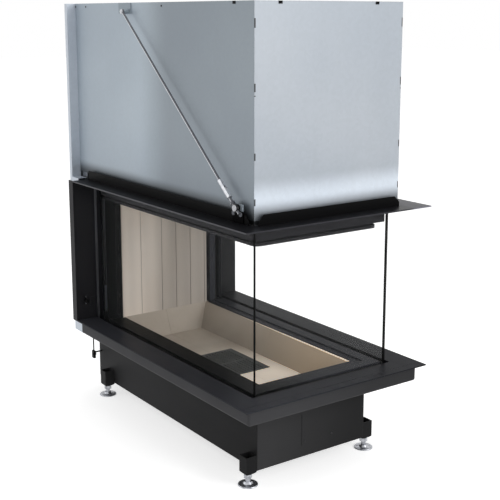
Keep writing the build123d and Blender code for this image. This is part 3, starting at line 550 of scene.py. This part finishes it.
@dataclass(frozen=True)
class ZincPlate:
    """Bright zinc plating on rods, nuts and feet.

    Pitch and band are those of a thread that stands upright. A slanting rod gets painted shade in the dull
    tone on the side that looks towards a given depth and height. Joint is the depth and height of a round
    black eye.
    """

    name: str
    tone: Colour = colour_of(196, 198, 203)
    dull_and_shaded: Colour = colour_of(138, 140, 146)
    rough: float = 0.26
    pitch: float = 0.0
    band: tuple[float, float] = (0.0, 0.0)
    band_fade: float = 0.001
    groove_dark: float = 0.45
    joint: tuple[float, float] = (0.0, 0.0)
    joint_radius: float = 0.0
    joint_fade: float = 0.0008
    joint_tone: Colour = colour_of(16, 16, 18)
    cloud_scale: float = 60.0
    shaded_side: tuple[float, float] = (0.0, 0.0)
    shine: float = 0.9

    def material(self) -> bpy.types.Material:
        """Builds the finish.

        A thread is a sine of the height inside its band, and the eye is dark out to the root of the summed
        squares of the depth and the height from its middle.
        """
        g = Graph(self.name)
        cloud = g.noise(scale=self.cloud_scale, detail=4.0, rough=0.6)
        fine = g.noise(scale=900.0, detail=2.0)
        share = cloud.ramp(0.35, 0.75)
        # Painted shade: the rod's side that looks towards the given depth and height takes the dull tone.
        if any(self.shaded_side):
            _, deep, high = g.facing()
            under = (deep * self.shaded_side[0] + high * self.shaded_side[1]).ramp(-0.1, 0.5)
            share = (share * 0.2 + under).lower(1.0)
        tone = g.mix(share, self.tone, self.dull_and_shaded)
        rough = self.rough + cloud * 0.16
        normal = g.bump(fine, depth=0.00005, strength=0.3)
        if self.pitch:
            z = g.parts()[Axis.UP.value]
            low, high = self.band
            inside = z.ramp(low - self.band_fade, low) * z.ramp(high + self.band_fade, high)
            groove = z.wave(self.pitch)
            tone = g.shade(tone, 1.0 - inside * (1.0 - groove) * self.groove_dark)
            normal = g.bump(groove * inside, depth=self.pitch * 0.3, strength=0.8, normal=normal)
        metal: Number = self.shine
        if self.joint_radius:
            _, y, z = g.parts()
            away = ((y - self.joint[0]) ** 2.0 + (z - self.joint[1]) ** 2.0) ** 0.5
            eye = away.ramp(self.joint_radius + self.joint_fade, self.joint_radius)
            tone = g.mix(eye, tone, self.joint_tone)
            metal = self.shine - eye * self.shine
        return g.surface(Base_Color=tone, Metallic=metal, Roughness=rough, Normal=normal)


@dataclass(frozen=True)
class FireclayBoard:
    """Pressed lining board: pale cream, finely grained, with wide soft flutes that also carry painted shade,
    and darker to one side.

    Joints are the places across of upright seams. The board grows darker to the right of a slanting line. The
    trough's stones get a painted pool of light on the floor and a painted highlight on the rim towards the
    front, and painted shade on the slopes on the right.
    """

    name: str
    tone: Colour = colour_of(214, 206, 192)
    deep: Colour = colour_of(176, 163, 146)
    flute: float = 0.0
    flute_depth: float = 0.003
    grit_depth: float = 0.0006
    joints: tuple[float, ...] = ()
    joint_fade: tuple[float, float] = (0.0004, 0.0022)
    joint_dark: float = 0.38
    right_darkening: float = 0.0
    darkening_from: float = -0.03
    darkening_to: float = 0.20
    darkening_level: float = 0.72
    darkening_lean: float = 0.12
    floor_light: float = 0.0
    rim_highlight: float = 0.0
    rim_level: float = 0.3205
    rim_fade: float = 0.002
    rim_clear: float = 0.006
    floor_level: float = 0.226
    slope_shade: float = 0.0
    slope_glow: Colour = colour_of(222, 198, 166)

    def material(self) -> bpy.types.Material:
        """Builds the finish; a flute is a sine of the distance across, bent a little by noise."""
        g = Graph(self.name)
        x, y, z = g.parts()
        cloud = g.noise(scale=7.0, detail=4.0, rough=0.55)
        grit = g.noise(scale=700.0, detail=3.0, rough=0.7)
        pit, _ = g.cells(scale=260.0)
        tone = g.mix(cloud.ramp(0.3, 0.75) * 0.6, self.tone, self.deep)
        shade = 1.0 + grit.swing(0.16) - pit.ramp(0.18, 0.05) * 0.12
        relief = grit * 0.25 + pit.ramp(0.05, 0.3) * 0.1
        depth = self.grit_depth
        if self.flute:
            swell = g.noise(scale=3.0, detail=1.0, rough=0.5, where=g.stretched(Axis.UP, factor=4.0))
            wave = x.wave(self.flute, bend=swell * 2.0)
            # Painted shade of the flutes: the colour follows the same wave as their relief.
            shade = shade * (0.95 + wave * 0.07)
            relief = relief * 0.12 + wave
            depth = self.flute_depth
        for joint in self.joints:
            away = (x - joint).size().ramp(*self.joint_fade)
            shade = shade * ((1.0 - self.joint_dark) + away * self.joint_dark)
        # Darker to the right of a slanting line.
        if self.right_darkening:
            rightward = (x + (self.darkening_level - z) * self.darkening_lean).ramp(self.darkening_from, self.darkening_to)
            shade = shade * (1.0 - rightward * self.right_darkening)
        # Painted light: a bright pool on the flat floor towards the front.
        if self.floor_light:
            below = z.ramp(self.rim_level - self.rim_fade, self.rim_level - self.rim_clear)
            flat = g.facing()[Axis.UP.value].ramp(0.6, 0.95) * below
            shade = shade * (1.0 + flat * y.ramp(0.25, -0.25) * self.floor_light)
        # Painted shade on the slopes that look left, deeper low down and further back, with warm painted
        # light towards the front.
        if self.slope_shade:
            slant = g.facing()[Axis.ACROSS.value].ramp(-0.1, -0.4)
            rise = z.ramp(self.floor_level, self.rim_level)
            far = y.ramp(-0.35, 0.30)
            shade = shade * (1.0 - slant * (1.0 - rise * 0.9 + far * 0.35) * self.slope_shade)
            tone = g.mix(slant * (1.0 - far) * 0.6, tone, self.slope_glow)
        # Painted highlight along the top of the rim, strongest towards the front.
        if self.rim_highlight:
            top = z.ramp(self.rim_level - self.rim_fade, self.rim_level)
            shade = shade * (1.0 + top * y.ramp(0.30, -0.30) * self.rim_highlight)
        normal = g.bump(relief, depth=depth, strength=0.6)
        return g.surface(Base_Color=g.shade(tone, shade), Roughness=0.88 - grit * 0.1, Normal=normal,
                         Specular_IOR_Level=0.25)


@dataclass(frozen=True)
class GreyIron:
    """Sand-cast iron with a rough skin and rubbed ribs."""

    name: str = "grey_iron"
    tone: Colour = colour_of(106, 108, 108)
    dark: Colour = colour_of(78, 80, 81)
    edge: float = 0.0016
    rough: float = 0.6

    def material(self) -> bpy.types.Material:
        """Builds the finish."""
        g = Graph(self.name)
        edge_mask, soft = g.edges(self.edge)
        skin = g.noise(scale=520.0, detail=4.0, rough=0.7)
        cloud = g.noise(scale=28.0, detail=3.0)
        tone = g.mix(cloud, self.tone, self.dark)
        tone = g.shade(tone, 0.85 + skin * 0.3 + edge_mask * 0.5)
        normal = g.bump(skin, depth=0.0004, strength=0.7, normal=soft)
        return g.surface(Base_Color=tone, Roughness=self.rough - edge_mask * 0.15, Normal=normal,
                         Specular_IOR_Level=0.12)


@dataclass(frozen=True)
class PaneGlass:
    """Clear glass ceramic: almost unseen flat on, with a dark edge and a faint warm grey body."""

    name: str
    thickness: Axis
    body: float = 0.022
    edge: float = 0.97
    body_tone: Colour = colour_of(150, 152, 150)
    edge_tone: Colour = colour_of(8, 9, 9)
    rough: float = 0.34

    def material(self) -> bpy.types.Material:
        """Builds the finish; the pane's thin rims are the faces that don't look along its thickness."""
        g = Graph(self.name)
        smear = g.noise(scale=9.0, detail=3.0)
        rim = g.facing()[self.thickness.value].size().ramp(0.6, 0.3)
        tone = g.mix(rim, self.body_tone, self.edge_tone)
        cover = (self.body + smear.swing(0.012)) * (1.0 - rim) + rim * self.edge
        return g.surface(Base_Color=tone, Roughness=self.rough + smear * 0.08, Alpha=cover,
                         Specular_IOR_Level=0.05)


@dataclass(frozen=True)
class BlackSeal:
    """Black sealing strip with a dull, slightly ribbed skin."""

    name: str = "black_seal"
    tone: Colour = colour_of(12, 12, 13)
    rib_pitch: float = 0.004

    def material(self) -> bpy.types.Material:
        """Builds the finish; the ribs are a sine of the height."""
        g = Graph(self.name)
        z = g.parts()[Axis.UP.value]
        skin = g.noise(scale=800.0, detail=3.0)
        rib = z.wave(self.rib_pitch)
        tone = g.shade(self.tone, 0.8 + skin * 0.4)
        return g.surface(Base_Color=tone, Roughness=0.55 + skin * 0.1, Specular_IOR_Level=0.08,
                         Normal=g.bump(skin * 0.6 + rib * 0.4, depth=0.0002, strength=0.5))


@dataclass(frozen=True)
class BracketPlate:
    """Bracket plates: zinc-coated grey over the strips, black below the split and round the foot's pin.

    Pin is a depth and a height. Bolt_from and head_from are the places across, from the middle outwards,
    where the bolt and its bright head begin.
    """

    name: str = "bracket_plate"
    upper: Colour = colour_of(150, 160, 168)
    lower: Colour = colour_of(6, 6, 7)
    bright: Colour = colour_of(214, 216, 220)
    bolt: Colour = colour_of(120, 122, 128)
    split: float = 0.912
    pin: tuple[float, float] = (-0.490, 0.920)
    ear: float = 0.0115
    head_from: float = 0.3188
    bolt_from: float = 0.3076
    bolt_fade: float = 0.0004
    edge: float = 0.0012

    def material(self) -> bpy.types.Material:
        """Builds the finish."""
        g = Graph(self.name)
        edge_mask, soft = g.edges(self.edge)
        skin = g.noise(scale=340.0, detail=3.0, rough=0.6)
        cloud = g.noise(scale=24.0, detail=2.0)
        x, y, z = g.parts()
        out = x.size()
        away = ((y - self.pin[0]) ** 2.0 + (z - self.pin[1]) ** 2.0) ** 0.5
        high = z.ramp(self.split - 0.002, self.split + 0.002) * away.ramp(self.ear - LINE_FADE, self.ear)
        tone = g.mix(high, self.lower, self.upper)
        low = z.ramp(self.split + 0.001, self.split)
        tone = g.mix(low * out.ramp(self.bolt_from - self.bolt_fade, self.bolt_from), tone, self.bolt)
        head = out.ramp(self.head_from - self.bolt_fade, self.head_from)
        tone = g.mix(head, tone, self.bright)
        tone = g.shade(tone, 0.86 + skin * 0.12 + cloud * 0.16 + edge_mask * 0.5)
        normal = g.bump(skin, depth=0.0001, strength=0.4, normal=soft)
        return g.surface(Base_Color=tone, Metallic=high * 0.4, Roughness=0.42 + skin.swing(0.1),
                         Normal=normal, Specular_IOR_Level=0.02)


@dataclass(frozen=True)
class SpunSteel:
    """Bare steel with fine marks drawn along one direction, for rails, wheels and wire."""

    name: str
    tone: Colour = colour_of(148, 150, 154)
    along: Axis = Axis.UP
    rough: float = 0.34
    metal: float = 0.85

    def material(self) -> bpy.types.Material:
        """Builds the finish."""
        g = Graph(self.name)
        mark = g.noise(scale=380.0, detail=3.0, rough=0.6, where=g.stretched(self.along, factor=30.0))
        cloud = g.noise(scale=20.0, detail=3.0)
        tone = g.shade(self.tone, 0.78 + mark * 0.26 + cloud * 0.16)
        return g.surface(Base_Color=tone, Metallic=self.metal, Roughness=self.rough + mark.swing(0.2),
                         Normal=g.bump(mark, depth=0.00008, strength=0.4))


class Workshop:
    """Puts finishes on the carried-over nodes and new surfaces into the scene."""

    def __init__(self, loaded: Mapping[str, object]) -> None:
        """Keeps the loaded frame and its nodes."""
        self.nodes: Mapping[str, bpy.types.Object] = loaded["nodes"]
        self.dressed: set[str] = set()

    def dress(self, material: bpy.types.Material, *names: str) -> None:
        """Gives nodes a material through their objects' slots.

        Args:
            material: The finish.
            names: The nodes.
        """
        for name in names:
            obj = self.nodes[name]
            if not obj.material_slots:
                obj.data.materials.append(material)
            for place in obj.material_slots:
                place.material = material
            self.dressed.add(name)
            log.info("node %s in %s", name, material.name)

    def surface(self, name: str, points: np.ndarray, material: bpy.types.Material, body: str,
                slot: str) -> bpy.types.Object:
        """Makes a mesh from a grid of points, its rows one after another along the piece.

        The faces join each point to its neighbours by index sums on whole arrays. Each row is a closed ring,
        and a ring of radius nought closes each end.

        Args:
            name: The piece's name.
            points: An array of rows, columns and three coordinates.
            material: Its finish.
            body: The body that it rides on, or an empty text when it is tied later.
            slot: The record's material slot; not used.

        Returns:
            The object.
        """
        rows, columns, _ = points.shape
        row, column = np.meshgrid(np.arange(rows - 1), np.arange(columns), indexing="ij")
        right = (column + 1) % columns
        quads = np.stack([row * columns + column, row * columns + right,
                          (row + 1) * columns + right, (row + 1) * columns + column], -1).reshape(-1, 4)
        mesh = bpy.data.meshes.new(name)
        mesh.from_pydata(points.reshape(-1, 3), [], quads)
        mesh.validate()
        obj = bpy.data.objects.new(name, mesh)
        bpy.context.scene.collection.objects.link(obj)
        mesh.materials.append(material)
        if body:
            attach(obj, body)
        log.info("piece %s, %d faces", name, len(quads))
        return obj


@dataclass
class Casing:
    """The sheet casing over the glass and the housing behind it."""

    shop: Workshop
    steel: bpy.types.Material
    slots: tuple[tuple[float, float], ...] = ((1.450, 1.477), (1.267, 1.291), (1.254, 1.2565), (1.067, 1.088),
                                              (0.932, 0.952))

    def build(self) -> None:
        """Dresses the sheets."""
        side = GalvanisedSheet(tone=colour_of(172, 183, 192), shadow=colour_of(163, 174, 184), under=0.885,
                               seam=0.0009, near_shade=0.37, foot_shade=0.86)
        self.shop.dress(side.material(), "casing_sides", "cross_bars")
        front = GalvanisedSheet("front_sheet", colour_of(172, 178, 185), colour_of(165, 172, 180), wipe=0.70,
                                under=0.885, corner_reach=0.004, slots=self.slots)
        self.shop.dress(front.material(), "casing_front")
        # Painted light: a lighter copy of the zinc sheet for the housing, which the casing's side shades,
        # with no painted shade at its foot.
        rear = GalvanisedSheet("housing_sheet_lit", colour_of(206, 212, 220), colour_of(194, 202, 212),
                               foot_shade=0.0)
        self.shop.dress(rear.material(), "rear_housing")
        self.shop.dress(self.steel, "casing_clips")


@dataclass
class LiftingGear:
    """Ropes, wheels, weights and the rails that guide door and weights."""

    shop: Workshop
    rope_x: float = 0.240
    rope_radius: float = 0.002
    door_line: float = 0.489
    weight_line: float = 0.572
    wheel_level: float = 1.470
    door_end: float = 0.872
    weight_end: float = 1.400
    strands: int = 6
    lay: float = 0.014
    furrow: float = 0.12
    ring_points: int = 24
    rings_in_lay: int = 8
    fewest_rings: int = 24

    def rope(self, x: float, y: float, low: float, high: float) -> np.ndarray:
        """A laid wire rope standing upright.

        The radius at an angle is the rope's own, less the furrow's share, plus that share times the size of
        the cosine of half the strand count times the angle. That pattern turns once in each lay of height.

        Args:
            x: Its place across.
            y: Its place in depth.
            low: Its lower end.
            high: Its upper end.

        Returns:
            The grid of points, closed at both ends.
        """
        rings = max(self.fewest_rings, int((high - low) / self.lay * self.rings_in_lay))
        height = np.linspace(low, high, rings)[:, None]
        angle = np.linspace(0, FULL_TURN, self.ring_points, endpoint=False)[None, :]
        turn = FULL_TURN * (height - low) / self.lay
        strand = np.abs(np.cos(self.strands / 2 * (angle - turn)))
        radius = self.rope_radius * ((1.0 - self.furrow) + self.furrow * strand)
        radius[0] = radius[-1] = 0.0
        return np.stack([x + radius * np.cos(angle), y + radius * np.sin(angle),
                         np.broadcast_to(height, radius.shape)], -1)

    def build(self) -> None:
        """Makes the ropes and dresses the rest."""
        wire = SpunSteel("wire_rope", colour_of(140, 142, 146)).material()
        for side, sign in (("left", -1), ("right", 1)):
            x = sign * self.rope_x
            strand = self.rope(x, self.door_line, self.door_end, self.wheel_level)
            run = self.shop.surface(f"rope_door_{side}", strand, wire, "root", slot="zinc")
            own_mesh(run)
            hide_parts("rope_door_runs")
            strand = self.rope(x, self.weight_line, self.weight_end, self.wheel_level)
            drop = self.shop.surface(f"rope_weight_{side}", strand, wire, "", slot="zinc")
            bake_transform(drop)
            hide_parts("rope_weight_runs")
        self.shop.dress(wire, "rope_turns")
        self.shop.dress(SpunSteel("rail_steel").material(), "door_rails", "weight_guides")
        self.shop.dress(SpunSteel("wheel_steel", colour_of(120, 122, 126), Axis.ACROSS).material(),
                        "pulley_left", "pulley_right", "pulley_hangers")
        self.shop.dress(GreyIron("weight_iron", colour_of(70, 70, 72), colour_of(48, 48, 50)).material(),
                        "counterweight_left", "counterweight_right")


@dataclass
class GlassDoor:
    """The panes, their seals and the frame that carries them."""

    shop: Workshop

    def build(self) -> None:
        """Dresses the door."""
        self.shop.dress(PaneGlass("front_pane", Axis.DEPTH).material(), "glass_front")
        self.shop.dress(PaneGlass("side_pane", Axis.ACROSS).material(), "glass_sides")
        seal = BlackSeal().material()
        self.shop.dress(seal, "glass_corner_seals", "door_gasket")
        bar = CoatedSteel("door_steel", colour_of(52, 52, 55), RUBBED_AND_LIT).material()
        self.shop.dress(bar, "door_top_frame")
        # Painted shade: the left stile is darker than the right.
        stile = CoatedSteel("stile_steel", colour_of(52, 53, 58), RUBBED_AND_LIT, shade_axis=Axis.ACROSS,
                            shade_ramp=(0.1, -0.1, 0.85)).material()
        self.shop.dress(stile, "door_stiles")
        self.shop.dress(ZincPlate("hanger_zinc").material(), "door_hangers", "door_runners")


@dataclass
class Firebox:
    """Lining, grate, jambs, header, hood and flue collar."""

    shop: Workshop
    steel: bpy.types.Material
    joints: tuple[float, ...] = (-0.110, -0.016, 0.050, 0.117, 0.184)

    def build(self) -> None:
        """Dresses the firebox."""
        wall = FireclayBoard("wall_board", colour_of(254, 244, 233), colour_of(248, 236, 223), flute=0.062,
                             joints=self.joints, right_darkening=0.44, darkening_from=-0.09, darkening_to=0.07).material()
        self.shop.dress(wall, "back_wall_boards")
        bed = FireclayBoard("bed_stone", colour_of(200, 191, 179), colour_of(182, 171, 158), floor_light=1.9,
                            rim_highlight=4.0, slope_shade=0.22).material()
        self.shop.dress(bed, "trough_stones_front", "trough_stones_rear")
        baffle = FireclayBoard("baffle_plate", colour_of(184, 168, 138), colour_of(150, 134, 108)).material()
        self.shop.dress(baffle, "baffle_board")
        self.shop.dress(GreyIron().material(), "grate")
        self.shop.dress(self.steel, "firebox_back", "hood", "flue_collar")
        pan = CoatedSteel("pan_steel", colour_of(8, 8, 9), colour_of(30, 30, 32), sheen=0.02).material()
        self.shop.dress(pan, "ash_pan")
        # Painted shade: the left jamb is darker than the right.
        jamb = CoatedSteel("jamb_steel", colour_of(56, 57, 63), RUBBED_AND_LIT, shade_axis=Axis.ACROSS,
                           shade_ramp=(0.1, -0.1, 0.85)).material()
        self.shop.dress(jamb, "jamb_posts")
        header = CoatedSteel("header_steel", colour_of(50, 50, 53), RUBBED_AND_LIT).material()
        self.shop.dress(header, "header_frame")


@dataclass
class PlateFrame:
    """The wide sill and head plates, the apron, the upright plates and the strips on the head plate."""

    shop: Workshop
    steel: bpy.types.Material

    def build(self) -> None:
        """Dresses the plates."""
        # Painted shade: the sill plate and cover darken towards the right.
        plate = CoatedSteel("plate_steel", colour_of(51, 52, 57), colour_of(84, 84, 90), rough=0.36,
                            sheen=0.025, shade_axis=Axis.ACROSS, shade_ramp=(-0.30, 0.36, 0.50)).material()
        self.shop.dress(plate, "sill_plate", "sill_cover")
        # Painted shade: the bed frame and retainer turn nearly black towards the left.
        inner = CoatedSteel("bed_steel", colour_of(52, 53, 58), colour_of(84, 84, 90), rough=0.36, sheen=0.02,
                            shade_axis=Axis.ACROSS, shade_ramp=(0.02, -0.20, 0.93)).material()
        self.shop.dress(inner, "bed_frame", "stone_retainer")
        # Painted reflection: the head plate's top darkens left of its right tip; painted highlight on its
        # upright faces and its left flank.
        head = CoatedSteel("head_steel", colour_of(60, 60, 66), colour_of(110, 110, 116), rough=0.34,
                           sheen=0.10, shade_axis=Axis.ACROSS, shade_ramp=(0.31, 0.27, 0.86), rim=4.0,
                           lit_flank=colour_of(88, 88, 93)).material()
        self.shop.dress(head, "head_plate")
        upright = CoatedSteel("side_steel", colour_of(30, 30, 33), colour_of(90, 90, 96), sheen=0.1)
        self.shop.dress(upright.material(), "side_plates")
        strip = CoatedSteel("strip_steel", colour_of(12, 12, 13), colour_of(40, 40, 42), sheen=0.04)
        self.shop.dress(strip.material(), "upstands")
        self.shop.dress(self.steel, "deck_plate")
        # Painted shade: the apron darkens towards the right.
        apron = CoatedSteel("apron_steel", colour_of(70, 70, 72), colour_of(90, 90, 92), rough=0.5,
                            shade_axis=Axis.ACROSS, shade_ramp=(-0.33, 0.30, 0.42)).material()
        self.shop.dress(apron, "apron")


@dataclass
class Base:
    """The air box under the hearth with its tubes and levelling feet."""

    shop: Workshop

    def build(self) -> None:
        """Dresses the base."""
        # Painted shade: the box darkens towards the front.
        box = CoatedSteel("base_steel", colour_of(49, 49, 50), colour_of(74, 74, 76), rough=0.5,
                          shade_axis=Axis.DEPTH, shade_ramp=(0.5, -0.5, 0.45)).material()
        self.shop.dress(box, "base_shell", "bed_plate", "air_inlet_spigot", "foot_tubes")
        # Painted shade: the front panel darkens towards the right.
        front = CoatedSteel("base_front_steel", colour_of(62, 62, 63), colour_of(80, 80, 82), rough=0.5,
                            shade_axis=Axis.ACROSS, shade_ramp=(-0.22, 0.22, 0.6)).material()
        self.shop.dress(front, "base_front_panel")
        foot = ZincPlate("foot_zinc", pitch=0.002, band=(0.0385, 0.070)).material()
        self.shop.dress(foot, "foot_front_left", "foot_front_right", "foot_rear_left", "foot_rear_right")


@dataclass
class AirControl:
    """The knob, its bent rod and the crank under the plates."""

    shop: Workshop
    steel: bpy.types.Material

    def build(self) -> None:
        """Dresses the control."""
        self.shop.dress(self.steel, "air_rod", "air_crank", "air_knob")


@dataclass
class Braces:
    """The slanting rods that hold the casing, with their turnbuckles and brackets."""

    shop: Workshop
    foot: tuple[float, float] = (-0.490, 0.920)

    def build(self) -> None:
        """Dresses the braces."""
        bright = ZincPlate("brace_zinc", colour_of(232, 234, 238), colour_of(92, 94, 100), rough=0.34,
                           joint=self.foot, joint_radius=0.0122, cloud_scale=20.0, shaded_side=(-0.866, 0.5),
                           shine=0.4)
        self.shop.dress(bright.material(), "brace_rods")
        sleeve = ZincPlate("sleeve_zinc", colour_of(236, 238, 242), colour_of(206, 208, 214), rough=0.3)
        self.shop.dress(sleeve.material(), "turnbuckle_left", "turnbuckle_right")
        self.shop.dress(BracketPlate().material(), "brace_brackets")
        screws = CoatedSteel("screw_black", colour_of(34, 34, 36), colour_of(70, 70, 74), rough=0.3,
                             sheen=0.25)
        self.shop.dress(screws.material(), "small_screws")


@dataclass
class Studio:
    """Floor, soft lights, white surround and the camera."""

    eye: tuple[float, float, float] = (-1.9890, -2.9206, 1.4869)
    yaw: float = -35.386
    pitch: float = -10.985
    focal_pixels: float = 1006.7
    picture: int = 500
    lens_shift: float = -0.08
    sensor: float = 36.0
    clip: tuple[float, float] = (0.05, 100.0)
    surround: float = 0.55
    floor_reach: float = 30.0
    floor_tone: float = 0.86
    floor_glow: float = 0.64
    aim: tuple[float, float, float] = (0.0, -0.1, 0.7)
    lamps: tuple[tuple[str, tuple[float, float, float], float, float], ...] = (
        ("front", (2.4, -6.0, 2.8), 3.0, 125.0),
        ("rear_left", (-3.5, 1.9, 1.1), 2.0, 14.0),
        ("left", (-3.2, -3.6, 1.2), 2.4, 14.0),
        ("top", (0.4, -0.6, 4.6), 2.4, 34.0),
    )

    def build(self) -> None:
        """Sets up everything that isn't the insert."""
        self.make_floor()
        self.make_world()
        for name, place, size, power in self.lamps:
            self.make_lamp(name, place, size, power)
        self.make_camera()
        bpy.context.scene.view_settings.view_transform = "Standard"

    def make_floor(self) -> None:
        """A wide pale floor that keeps the shadow and glows only where it is seen directly."""
        mesh = bpy.data.meshes.new("floor")
        reach = self.floor_reach
        mesh.from_pydata([(-reach, -reach, 0), (reach, -reach, 0), (reach, reach, 0), (-reach, reach, 0)], [],
                         [(0, 1, 2, 3)])
        floor = bpy.data.objects.new("floor", mesh)
        bpy.context.scene.collection.objects.link(floor)
        g = Graph("floor_light")
        speck = g.noise(scale=90.0, detail=2.0)
        tone = g.shade((self.floor_tone,) * 3, 0.995 + speck * 0.01)
        matt = g.node("ShaderNodeBsdfDiffuse", {}, {"Color": tone})
        glow = g.node("ShaderNodeEmission", {}, {"Strength": g.seen_directly() * self.floor_glow})
        both = g.node("ShaderNodeAddShader", {}, {0: matt.outputs[0], 1: glow.outputs[0]})
        g.node("ShaderNodeOutputMaterial", {}, {"Surface": both.outputs[0]})
        mesh.materials.append(g.owner)

    def make_world(self) -> None:
        """A white surround for the eye and soft plain light for the object."""
        g = Graph("studio", world=True)
        bpy.context.scene.world = g.owner
        strength = g.node("ShaderNodeMix", {}, {0: g.seen_directly(), 2: self.surround, 3: 1.0})
        back = g.node("ShaderNodeBackground", {}, {"Color": (1.0, 1.0, 1.0), "Strength": strength.outputs[0]})
        g.node("ShaderNodeOutputWorld", {}, {"Surface": back.outputs[0]})

    def make_lamp(self, name: str, place: tuple[float, float, float], size: float, power: float) -> None:
        """One square soft lamp that looks at the insert's middle.

        Args:
            name: Its name.
            place: Where it stands.
            size: Its side in metres.
            power: Its power in watts.
        """
        light = bpy.data.lights.new(name, "AREA")
        light.size = size
        light.energy = power
        lamp = bpy.data.objects.new(name, light)
        bpy.context.scene.collection.objects.link(lamp)
        lamp.location = place
        lamp.visible_camera = False
        lamp.rotation_mode = "QUATERNION"
        lamp.rotation_quaternion = (Vector(self.aim) - Vector(place)).to_track_quat("-Z", "Y")

    def make_camera(self) -> None:
        """The photograph's camera: its place, turn and tilt were fitted to the plates' corners."""
        data = bpy.data.cameras.new("camera")
        data.sensor_width = self.sensor
        data.lens = self.focal_pixels / self.picture * self.sensor
        data.shift_y = self.lens_shift
        data.clip_start, data.clip_end = self.clip
        eye = bpy.data.objects.new("camera", data)
        bpy.context.scene.collection.objects.link(eye)
        eye.location = self.eye
        eye.rotation_euler = (math.radians(90.0 + self.pitch), 0.0, math.radians(self.yaw))
        bpy.context.scene.camera = eye


def main() -> None:
    """Builds and dresses every sub-assembly in order."""
    logging.basicConfig(level=logging.INFO, format="%(name)s: %(message)s")
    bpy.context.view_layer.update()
    shop = Workshop(frame)
    steel = CoatedSteel("black_steel").material()
    Studio().build()
    for part in (Casing(shop, steel), PlateFrame(shop, steel), Firebox(shop, steel), GlassDoor(shop),
                 LiftingGear(shop), Base(shop), AirControl(shop, steel), Braces(shop)):
        part.build()
    hidden = {"rope_door_runs", "rope_weight_runs"}
    bare = sorted(set(frame["nodes"]) - shop.dressed - hidden)
    log.info("nodes without a finish: %s", bare or "none")


if __name__ == "__main__":
    main()
